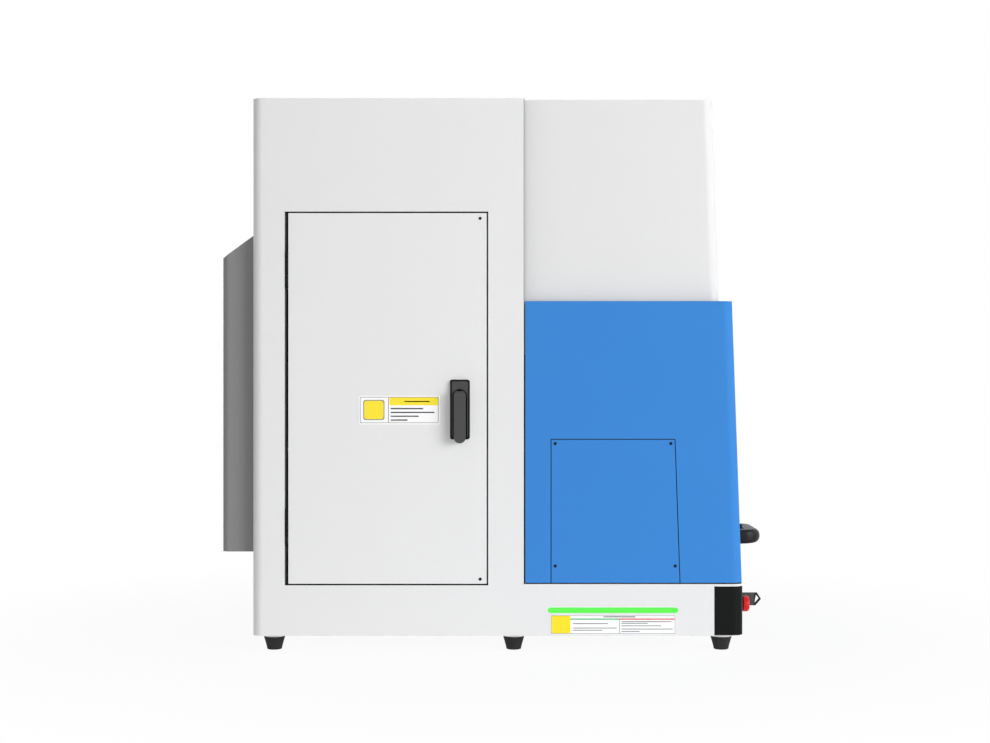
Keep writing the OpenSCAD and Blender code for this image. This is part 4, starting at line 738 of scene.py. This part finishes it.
brushed, given, result = new_group("brushed")
stretch = add(brushed, "Mapping", Scale=(0.02, 1, 1), Vector=add(brushed, "TexCoord").outputs["Object"])
lines = noise(brushed, stretch.outputs["Vector"], given["Grain"], 3)
vary(brushed, given, result, lines, lines, lines)

aluminium = coated("aluminium", (0.6, 0.61, 0.62), 0.36, 1400, 0.14, 0.2, 6, 0.5, 1.0, brushed)
anodised = coated("black_anodised", (0.022, 0.023, 0.025), 0.38, 1800, 0.2, 0.12, 12, 0.35)
slate_coat = coated("slate_coat", (0.048, 0.06, 0.072), 0.45, mottle=0.12)
pale_plastic = coated("pale_plastic", (0.62, 0.62, 0.6), 0.42, 1600, 0.05, 0.1, 10, 0.3)
dress(plated, "equipment_shelf")
dress(anodised, "laser_source", edge=0.0008)
dress(slate_coat, "control_unit", edge=0.001)
dress(aluminium, "power_supply")
dress(pale_plastic, "breaker_rail", edge=0.0008)

source_lo, source_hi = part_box("laser_source")
front_x = source_lo.x
for y in (source_lo.y + 0.012, source_hi.y - 0.012):
    for z in (source_lo.z + 0.012, source_lo.z + 0.085):
        screw_head((front_x, y, z), (-1, 0, 0), 0.004, 0.0018, "hexagon", 1)
for y, r in ((0.06, 0.011), (0.1, 0.008), (0.13, 0.008)):
    turned("x", (source_lo.y + y, source_lo.z + 0.045), [
        (0, 0), (r, 0), (r, -0.004), (r * 0.8, -0.0055), (r * 0.8, -0.01), (r * 0.66, -0.01),
        (r * 0.66, -0.004), (0, -0.004)], 32, 1, front_x)
brick((front_x - 0.0016, source_lo.y + 0.17, source_lo.z + 0.026),
      (front_x, source_lo.y + 0.262, source_lo.z + 0.066))
for k in range(3):
    turned("x", (source_lo.y + 0.186 + 0.014 * k, source_lo.z + 0.078), [
        (0.0028, 0), (0.0028, -0.0014), (0, -0.0022)], 16, 2, front_x)
new_piece("source_fittings", "frame", "steel", pale_plastic, plated, lens, edge=0.0003)

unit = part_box("control_unit")[0]
for y in (0.03, 0.075, 0.12):
    lo = Vector((unit.x - 0.006, unit.y + y, unit.z + 0.03))
    slab(round_box(lo.y, lo.y + 0.034, lo.z, lo.z + 0.016, 0.004), "x", lo.x, unit.x)
    for side in (-0.004, 0.038):
        turned("x", (lo.y + side, lo.z + 0.008), [(0.0024, 0), (0.0024, -0.005), (0, -0.005)],
               6, 1, unit.x)
for k in range(2):
    slab(round_box(unit.y + 0.17 + 0.036 * k, unit.y + 0.194 + 0.036 * k, unit.z + 0.028,
                   unit.z + 0.052, 0.003), "x", unit.x - 0.003, unit.x)
new_piece("unit_sockets", "frame", "black_plastic", black_plastic, plated, edge=0.0004)

supply_lo, supply_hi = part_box("power_supply")
low_z, high_z = supply_lo.z + 0.006, supply_lo.z + 0.03
brick((supply_lo.x + 0.008, supply_lo.y - 0.0015, low_z), (supply_hi.x - 0.008, supply_lo.y, high_z))
for k in range(7):
    x = supply_lo.x + 0.016 + TERMINAL_STEP * k
    screw_head((x, supply_lo.y - 0.0015, supply_lo.z + 0.018), (0, -1, 0), 0.0038, 0.0016, "cross", 1)
    if k:
        brick((x - 0.0075, supply_lo.y - 0.006, low_z), (x - 0.0057, supply_lo.y - 0.0014, high_z))
new_piece("supply_terminals", "frame", "black_plastic", black_plastic, plated, edge=0.0002)

rail_lo, rail_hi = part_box("breaker_rail")
breaker_z = (rail_lo.z + rail_hi.z) / 2
for k in range(4):
    x = (rail_lo.x + rail_hi.x) / 2 + BREAKER_STEP * (k - 1.5)
    brick((x - 0.008, rail_hi.y, breaker_z - 0.022), (x + 0.008, rail_hi.y + 0.003, breaker_z + 0.022))
    slab([(rail_hi.y + y, breaker_z + z) for y, z in (
        (0.003, -0.009), (0.003, 0.009), (0.013, 0.01), (0.014, 0.004))],
        "x", x - 0.006, x + 0.006, 1)
    for z in (-0.033, 0.033):
        screw_head((x, rail_hi.y, breaker_z + z), (0, 1, 0), 0.0032, 0.001, "cross", 2)
new_piece("breaker_levers", "frame", "breaker_plastic", pale_plastic, black_plastic, plated, edge=0.0004)

duct_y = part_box("bulkhead")[1].y
x0 = (rail_lo.x + rail_hi.x - DUCT[0]) / 2
x1, duct_out = x0 + DUCT[0], duct_y + DUCT[1]
tooth = DUCT[0] / DUCT_TEETH
for z in (breaker_z - 0.11, breaker_z + 0.075):
    brick((x0, duct_y, z), (x1, duct_y + DUCT_WALL, z + DUCT[2]))
    brick((x0, duct_out - 0.003, z - 0.001), (x1, duct_out, z + DUCT[2] + 0.001))
    for k in range(DUCT_TEETH):
        x = x0 + DUCT[0] * (k + 0.15) / DUCT_TEETH
        for low in (z, z + DUCT[2] - DUCT_WALL):
            brick((x, duct_y + 0.001, low), (x + 0.7 * tooth, duct_out - 0.0025, low + DUCT_WALL))
new_piece("wiring_ducts", "frame", "breaker_plastic", pale_plastic)


# ---- Column and head drive ----
# The head climbs two ground rails on an extruded aluminium column. A stepper motor on top
# turns a rolled lead screw between its plate and a bearing block below.
THREAD_PITCH = 0.004
THREAD_DEPTH = 0.0007
THREAD_SIDES = 20
RAIL_HOLE_STEP = 0.04

ground = coated("ground_steel", (0.66, 0.67, 0.68), 0.22, 2600, 0.08, 0.12, 3, 0.5, 1.0, brushed)
dress(aluminium, "z_column", "screw_bearings", edge=0.001)
dress(ground, "z_rails", edge=0.0006)
dress(ground, "hood_guides", edge=0.0005)

screw_lo, screw_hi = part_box("lead_screw")
screw_at = middle("lead_screw", 0, 1)
screw_r = (screw_hi.x - screw_lo.x) / 2
length = screw_hi.z - screw_lo.z
steps = int(length / THREAD_PITCH) * 4
rings = []
for s in range(steps + 1):
    ring = []
    for k in range(THREAD_SIDES):
        turn = (s / 4 + k / THREAD_SIDES) % 1
        depth = THREAD_DEPTH * (0, 0.35, 1, 0.35, 0)[int(turn * 4 + 0.5)]
        ring.append((*polar(screw_r - depth, -tau * k / THREAD_SIDES, screw_at),
                     screw_lo.z + length * s / steps))
    rings.append(ring)
skin(rings)
new_piece("rolled_screw", "screw", "steel", ground, stands_for="lead_screw")


def chamfered(lo, hi, c):
    """Outline of a rectangle in x and y with cut corners."""
    return ((lo.x + c, lo.y), (hi.x - c, lo.y), (hi.x, lo.y + c), (hi.x, hi.y - c),
            (hi.x - c, hi.y), (lo.x + c, hi.y), (lo.x, hi.y - c), (lo.x, lo.y + c))


motor_lo, motor_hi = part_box("z_motor")
inset = Vector((0.0008, 0.0008, 0))
cap_low, cap_high = motor_hi.z - 0.013, motor_hi.z - 0.002
slab(chamfered(motor_lo, motor_hi, 0.005), "z", motor_lo.z, motor_lo.z + 0.012)
slab(chamfered(motor_lo + inset, motor_hi - inset, 0.008), "z", motor_lo.z + 0.012, cap_low, 1)
slab(chamfered(motor_lo, motor_hi, 0.005), "z", cap_low, cap_high)
for x in (motor_lo.x + 0.0065, motor_hi.x - 0.0065):
    for y in (motor_lo.y + 0.0065, motor_hi.y - 0.0065):
        screw_head((x, y, cap_high), (0, 0, 1), 0.003, 0.002, "cross", 2)
slab(round_box(-0.01, 0.01, motor_hi.z - 0.012, motor_hi.z - 0.005, 0.001), "y",
     motor_lo.y - 0.006, motor_lo.y)
new_piece("stepper_motor", "frame", "black_plastic", anodised, plated, plated,
          stands_for="z_motor", edge=0.0005)

rails_lo, rails_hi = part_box("z_rails")
for x in (rails_lo.x + 0.006, rails_hi.x - 0.006):
    z = rails_lo.z + 0.015
    while z < rails_hi.z:
        turned("y", (x, z), [(0.0034, 0.0001), (0.0034, -0.00005), (0.0028, -0.00005),
                             (0.0017, -0.00002), (0.0017, 0.0001)], 16, base=rails_lo.y)
        z += RAIL_HOLE_STEP
new_piece("rail_screws", "frame", "screw_black", anodised)


# ---- Scan head ----
# The head is an anodised casing with a mirror motor on its top and one on its front. It
# hangs from the carriage's arm, with the square beam tube behind it and the lens below.
LENS_KNURLS = 60
KNURL_H = 0.0006
LENS_RIM = 0.0079            # how far the glass ends inside the barrel's outside
DOME_LOW = 0.0055            # where the glass's dome starts above the barrel's lower end
DOME_H = 0.0035

dress(aluminium, "head_carriage", edge=0.001)
dress(anodised, "beam_tube", "scan_head", edge=0.0012)
mirror = coated("mirror", (0.95, 0.78, 0.42), 0.04, 300, 0.02, 0.02, 1, 0.5, 1.0)
dress(mirror, "galvo_mirror_x", "galvo_mirror_y", edge=0.0002)
glass = finished("lens_glass", (0.42, 0.55, 0.62), 0.04, 40, 0.2, 0.02,
                 Transmission_Weight=0.85, IOR=1.5)[0]

lens_lo, lens_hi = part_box("scan_lens")
lens_at = middle("scan_lens", 0, 1)
lens_r = (lens_hi.x - lens_lo.x) / 2
knurled = ribbed(lens_r, KNURL_H, LENS_KNURLS, lens_at)
rims = [circle(lens_r - less, 2 * LENS_KNURLS, lens_at) for less in (0.003, 0.001, 0.0025, 0.006, 0.008)]
stack("z", ((lens_hi.z, rims[0]), (lens_hi.z - 0.006, rims[0]), (lens_hi.z - 0.007, knurled),
            (lens_lo.z + 0.006, knurled), (lens_lo.z + 0.005, rims[1]), (lens_lo.z, rims[2]),
            (lens_lo.z, rims[3]), (lens_lo.z + 0.004, rims[4]), (lens_hi.z, rims[4])))
new_piece("lens_barrel", "head", "black_anodised", anodised, stands_for="scan_lens")
rim, dome_z = lens_r - LENS_RIM, lens_lo.z + DOME_LOW
turned("z", lens_at, [(0, lens_hi.z - 0.001), (rim, lens_hi.z - 0.001), (rim, dome_z)] + [
    (rim * (1 - k / 8), dome_z - DOME_H * sin(pi / 2 * k / 8)) for k in range(1, 9)],
    64)
new_piece("lens_front", "head", "lens_glass", glass)

head_lo, head_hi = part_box("scan_head")
plate_y = rails_lo.y - 0.02
for x in (head_lo.x + 0.008, head_hi.x - 0.008):
    for y in (head_lo.y + 0.028, head_hi.y - 0.008):
        screw_head((x, y, lens_hi.z + 0.11), (0, 0, 1), 0.003, 0.0024, "hexagon")
    for z in (lens_hi.z + 0.008, lens_hi.z + 0.102):
        screw_head((x, head_lo.y + 0.02, z), (0, -1, 0), 0.003, 0.0024, "hexagon")
for x in (-0.055, 0.055):
    for z in (0.413, 0.503):
        screw_head((x, plate_y, z), (0, -1, 0), 0.004, 0.0036, "hexagon")
new_piece("head_screws", "head", "steel", plated)


# ---- Delivery fiber ----
# A steel armour of wound strip holds the fiber. It runs from the source's port over the
# bulkhead and down in a bow to the beam tube, so that the head can climb. Known fault: the
# blend also moves the fiber's end at the source when the head leaves rest.
FIBER_R = 0.003
FIBER_PITCH = 0.0022
FIBER_GROOVE = 0.0004
FIBER_PATH = ((-24, -149.5, 506), (-24, -150, 560), (-26, -150, 620), (-34, -152, 680),
              (-55, -146, 730), (-82, -122, 762), (-100, -90, 775), (-108, -60, 778),
              (-108, -20, 776), (-106, 10, 764), (-98, 30, 735), (-88, 42, 690),
              (-80, 50, 630), (-74, 56, 560), (-70, 60, 500), (-70, 60, 470))    # mm

route = [Vector(p) / 1000 for p in FIBER_PATH]
smooth = []
for i in range(len(route) - 1):
    before = route[max(i - 1, 0)]
    a, b = route[i], route[i + 1]
    after = route[min(i + 2, len(route) - 1)]
    count = max(2, int((b - a).length / (FIBER_PITCH / 2)))
    for k in range(count):
        t = k / count
        smooth.append(0.5 * (2 * a + (b - before) * t
                             + (2 * before - 5 * a + 4 * b - after) * t * t
                             + (3 * a - before - 3 * b + after) * t * t * t))
smooth.append(route[-1])
armour = coated("armour", (0.5, 0.5, 0.51), 0.38, 900, 0.15, 0.15, 10, 0.5, 1.0)
rings = []
side = Vector((1, 0, 0))
for i, at in enumerate(smooth):
    way = (smooth[min(i + 1, len(smooth) - 1)] - smooth[max(i - 1, 0)]).normalized()
    side = (side - side.dot(way) * way).normalized()
    rings.append(round_section(at, FIBER_R - (FIBER_GROOVE if i % 2 else 0), side, 12, way))
skin(rings)
fiber = new_piece("armoured_fiber", None, "armour", armour, stands_for="delivery_fiber")
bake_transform(fiber)
for name, body, at, low, foot in (("source_gland", "frame", route[-1], 0.4705, 0.476),
                                  ("tube_gland", "head", route[0], 0.5065, 0.511)):
    turned("z", (at.x, at.y), [
        (0.0031, low), (0.0078, low), (0.0078, foot), (0.0052, foot + 0.002),
        (0.0044, foot + 0.019), (0.0031, foot + 0.022), (0.0031, low)], 24)
    new_piece(name, body, "black_plastic", black_plastic)


# ---- Chamber ----
# The work lies on a ground aluminium table with tapped holes, under two diode bars with
# milky covers. The hood runs on two guides and hangs on two gas struts. Rubber bulbs and
# flat strips on the cabinet's front keep light in where the hood slides past it. The strip
# beside the upper housing is black so that the step throws no light onto the housing, which
# then shows shade next to the cabinet's front edge.
EDGE_STRIP_T = 0.0006
EDGE_STRIP_X = 0.2848        # outer edge of the flat strips

dress(aluminium, "worktable", edge=0.0008)
dress(anodised, "strut_cylinders", edge=0.0004)
dress(ground, "strut_rods", edge=0.0004)
dress(anodised, "hood_carriages", edge=0.0008)
milky = coated("milky_cover", (0.85, 0.85, 0.82), 0.35, 200, 0.03, 0.1, 5, 0.3)
dress(milky, "chamber_light", edge=0.0025, segments=3)

bulkhead_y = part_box("bulkhead")[0].y
deck_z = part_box("base_deck")[1].z
housing_lo, housing_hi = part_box("upper_housing")
for side in (-1, 1):
    slab([(side * x, bulkhead_y - out) for x, out in (
        (0.2715, 0), (0.2665, 0), (0.2662, 0.0045), (0.2672, 0.007), (0.269, 0.008),
        (0.2708, 0.007), (0.2718, 0.0045))], "z", deck_z, housing_lo.z)
    # The upper strip, beside the upper housing, is black so that the step throws no light onto the
    # housing: this leaves shade on the housing next to the cabinet's front edge.
    for inner, z0, z1 in ((0.2725, deck_z, housing_lo.z), (0.2664, housing_lo.z, housing_hi.z)):
        slab([(side * x, bulkhead_y - out) for x, out in (
            (EDGE_STRIP_X, 0), (inner, 0), (inner, EDGE_STRIP_T), (EDGE_STRIP_X, EDGE_STRIP_T))],
            "z", z0, z1)
new_piece("chamber_seals_and_shade_strip", "frame", "rubber", shade_black_rubber)


# ---- Upper housing ----
# One folded sheet closes the top of the chamber, and the hood slides up round it. Its
# coat is a little darker than the cabinet's.
dress(coated("upper_coat", 0.77, 0.48), "upper_housing")


# ---- Hood ----
# The sliding hood is folded from one blue sheet with inward lips. A service panel is
# screwed into each side against a black foam strip, whose dark colour also paints the shade
# in the gap round the panel, and a filtered window sits in front.
SHADE_GASKET_T = 0.0006
SHADE_GASKET_W = 0.0015
SHEET = 0.002
LEAN = radians(2)            # of the hood's front and of the panels' front edges
PANEL_TOP = 0.197            # width of a panel's upper edge
SCREW_R = 0.0025
SCREW_H = 0.0012
SHANK_R = 0.0014
SHANK_L = 0.0072
SCREW_INSET = 0.006          # of a panel's screws from its edges
SCREW_RISE = 0.027           # of its lower screws above its lower edge

dress(coated("blue_coat", (0.051, 0.245, 0.655), 0.48, mottle=0.06, shine=0.04),
      "hood_shell", "service_panels")
dress(rubber, "window_seal", edge=0.0006)
window = finished("filter_window", (0.93, 0.34, 0.03), 0.05, 30, 0.06, 0.03,
                  Transmission_Weight=0.9, IOR=1.49)[0]
dress(window, "hood_window", edge=0.0004)

panel_lo, panel_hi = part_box("service_panels")
hood_lo, hood_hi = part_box("hood_shell")
slope = tan(LEAN)
rings = []
for grow in (SHADE_GASKET_W, 0.0001):
    top = panel_hi.z + grow
    front_top, front_low = (panel_hi.y - PANEL_TOP - (panel_hi.z - z) * slope - grow
                            for z in (top, panel_lo.z))
    rings.append(((panel_hi.y + grow, panel_lo.z), (panel_hi.y + grow, top), (front_top, top),
                  (front_low, panel_lo.z)))
# The dark strip lies at the bottom of the gap round each panel and paints that gap's shade.
for side in (-1, 1):
    near = side * (hood_hi.x - SHEET)
    far = near + side * SHADE_GASKET_T
    stack("x", ((near, rings[0]), (far, rings[0]), (far, rings[1]), (near, rings[1])))
new_piece("panel_gaskets_gap_shade", "hood", "rubber", rubber)

# A flat rubber strip under the hood's lower edge lands on the deck. Its near-black colour paints the
# shade in the gap between hood and deck.
CORNER_R = 0.016
STRIP_IN = 0.0004            # how far the strip lies inside the hood's outside
STRIP_W = 0.0016
STRIP_GAP = 0.0002           # left above the deck when the hood is shut

path = []
for side in (-1, 1):
    turn = [(side * hood_hi.x, hood_hi.y - 0.001, side)]
    for k in range(9):
        a = radians(90 * k / 8)
        turn.append((side * (hood_hi.x - CORNER_R + CORNER_R * cos(a)),
                     hood_lo.y + CORNER_R - CORNER_R * sin(a), side * cos(a)))
    path += turn if side < 0 else turn[::-1]
rings = []
for x, y, out in path:
    inward = Vector((-out, sqrt(max(0, 1 - out * out)), 0))
    near, far = (Vector((x, y, 0)) + inward * d for d in (STRIP_IN, STRIP_IN + STRIP_W))
    rings.append([p + Vector((0, 0, z)) for p, z in (
        (near, deck_z + STRIP_GAP), (far, deck_z + STRIP_GAP), (far, hood_lo.z),
        (near, hood_lo.z))])
skin(rings)
new_piece("hood_strip", "hood", "rubber", shade_black_rubber)


def black_screw(x, y, z, side, end):
    """A black screw: its head on a side's face, and its shank to a place inside."""
    screw_head((x, y, z), (side, 0, 0), SCREW_R, SCREW_H)
    turned("x", (y, z), [(SHANK_R, x), (SHANK_R, end), (0, end)], 12)


screw_paint = coated("black_screws", 0.007, 0.4, mottle=0.2, microns=10, shine=0.15)
screws_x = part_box("service_screws")[1].x
for side in (-1, 1):
    for front in (False, True):
        for z in (panel_hi.z - SCREW_INSET, panel_lo.z + SCREW_RISE):
            y = (panel_hi.y - PANEL_TOP + SCREW_INSET - (panel_hi.z - z) * slope if front
                 else panel_hi.y - SCREW_INSET)
            black_screw(side * hood_hi.x, y, z, side, side * screws_x - side * SHANK_L)
new_piece("panel_screws", "hood", "screw_black", screw_paint, stands_for="service_screws")

# The handle is one moulded bow: flat-sided legs run through round bends into a round grip.
GRIP_R = 0.012
GRIP_HALF_H = 0.0124
BEND_R = 0.016               # radius of the bends, at the middle of the bow
LEG_POWER = 4.5              # how square the legs' section is; 2 is round
GRIP_POWER = 2.2
HANDLE_BACK = 0.00003        # keeps the grip inside the box of its CAD solid

handle_lo, handle_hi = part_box("hood_handle")
half = handle_hi.x - GRIP_R
up_mid = (handle_lo.z - hood_lo.z) / cos(LEAN) + GRIP_R
reach = (hood_lo.y + up_mid * sin(LEAN) - GRIP_R - handle_lo.y) / cos(LEAN) - HANDLE_BACK


def leaning(x, out, up):
    """A point in the leaning frame of the hood's front: out from it and up along it."""
    return Vector((x, hood_lo.y - out * cos(LEAN) + up * sin(LEAN),
                   hood_lo.z + up * cos(LEAN) + out * sin(LEAN)))


path = [(half, k / 8 * (reach - BEND_R)) for k in range(9)]
path += [polar(BEND_R, radians(90 * k / 12), (half - BEND_R, reach - BEND_R)) for k in range(1, 13)]
path += [((half - BEND_R) * (1 - k / 8), reach) for k in range(1, 9)]
path += [(-x, out) for x, out in path[-2::-1]]
rings = []
for i, (x, out) in enumerate(path):
    ahead = path[min(i + 1, len(path) - 1)]
    behind = path[max(i - 1, 0)]
    way = Vector((ahead[0] - behind[0], ahead[1] - behind[1])).normalized()
    bent = min(1, max(0, (out - reach + BEND_R) / BEND_R))
    power = LEG_POWER - (LEG_POWER - GRIP_POWER) * bent
    ring = []
    for c, t in circle(1, 40):
        wide = GRIP_R * copysign(abs(c) ** (2 / power), c)
        tall = GRIP_HALF_H * copysign(abs(t) ** (2 / power), t)
        ring.append(leaning(x + way.y * wide, out - way.x * wide, up_mid - GRIP_HALF_H + GRIP_R + tall))
    rings.append(ring)
skin(rings)
handle_plastic = coated("handle_plastic", (0.012, 0.012, 0.013), 0.36, 1700, 0.2, 0.1, 20, 0.16)
new_piece("handle", "hood", "black_plastic", handle_plastic, stands_for="hood_handle")


# ---- Door ----
# The leaf is a folded tray of coated sheet on two pin hinges. Two black screws hold its
# lock strip, and a flush lever latch closes it.
LATCH_BACK = 0.0022          # thickness of the latch's base plate, whose near black paints the shade of the body's edge
LATCH_RIM = 0.0029           # width of that plate round the raised body
LATCH_HALF_W = 0.01585
LATCH_H = 0.0957
LATCH_CUT = 0.002            # cut of the raised body's lower corners
LEVER_HALF = 0.0096
LEVER_GAP = 0.0019
SPINDLE_Z = 0.4175
SPINDLE_RING = (0.0099, 0.00705)    # radii of the ring round the spindle

dress(coated("door_coat", 0.805, 0.46), "cabinet_door", edge=0.0003)
# The hinge leaves are coated black; their black also keeps the gap round the leaf evenly dark, as painted
# shade.
dress(black_coat, "hinge_frame_leaves", "hinge_door_leaves", edge=0.0002)
screws_lo, screws_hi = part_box("door_screws")
for z in (screws_lo.z + SCREW_R, screws_hi.z - SCREW_R):
    black_screw(door_side, (screws_lo.y + screws_hi.y) / 2, z, -1, screws_hi.x)
new_piece("lock_screws", "door", "screw_black", screw_paint, stands_for="door_screws")

latch_lo, latch_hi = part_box("latch_housing")
lever_lo, lever_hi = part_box("latch_lever")
latch_y = (lever_lo.y + lever_hi.y) / 2
latch_plastic = coated("latch_plastic", (0.054, 0.054, 0.055), 0.5, 2400, 0.12, 0.1, 30, 0.25)
# The base plate's near black is painted shade: it stands for the dark edge that the raised body's sides
# show. The spindle and its ring share this plastic.
rim_shade_and_spindle_plastic = coated("rim_shade_and_spindle_plastic", 0.009, 0.5, 2400, 0.15, 0.1, 30, 0.06)
plate_y = (latch_y - LATCH_HALF_W, latch_y + LATCH_HALF_W)
plate_z = (latch_hi.z - LATCH_H, latch_hi.z)
slab(round_box(*plate_y, *plate_z, 0.004), "x", door_side - LATCH_BACK, door_side, 1)
y0, y1, low = plate_y[0] + LATCH_RIM, plate_y[1] - LATCH_RIM, plate_z[0] + LATCH_RIM
channel = LEVER_HALF + LEVER_GAP
arch = (latch_y, lever_hi.z - LEVER_HALF)
outline = [p for p in round_box(y0, y1, low, plate_z[1] - LATCH_RIM, 0.0026, 4)
           if p[1] > plate_z[0] + 0.01]
outline += [(y0, low + LATCH_CUT), (y0 + LATCH_CUT, low), (latch_y - channel, low)]
outline += [polar(channel, radians(180 - 180 * k / 16), arch) for k in range(17)]
outline += [(latch_y + channel, low), (y1 - LATCH_CUT, low), (y1, low + LATCH_CUT)]
slab(outline, "x", latch_lo.x, door_side - LATCH_BACK + 0.0001)
wide, narrow = (circle(r, 32, (latch_y, SPINDLE_Z)) for r in SPINDLE_RING)
stack("x", ((door_side - LATCH_BACK, wide), (latch_hi.x, wide), (latch_hi.x, narrow),
            (door_side - LATCH_BACK, narrow)), paint=1)
new_piece("latch_body", "door", "black_plastic", latch_plastic, rim_shade_and_spindle_plastic,
          stands_for="latch_housing", edge=0.0004)
dress(latch_plastic, "latch_lever", edge=0.001, segments=3)
dress(rim_shade_and_spindle_plastic, "latch_spindle", edge=0.0004)
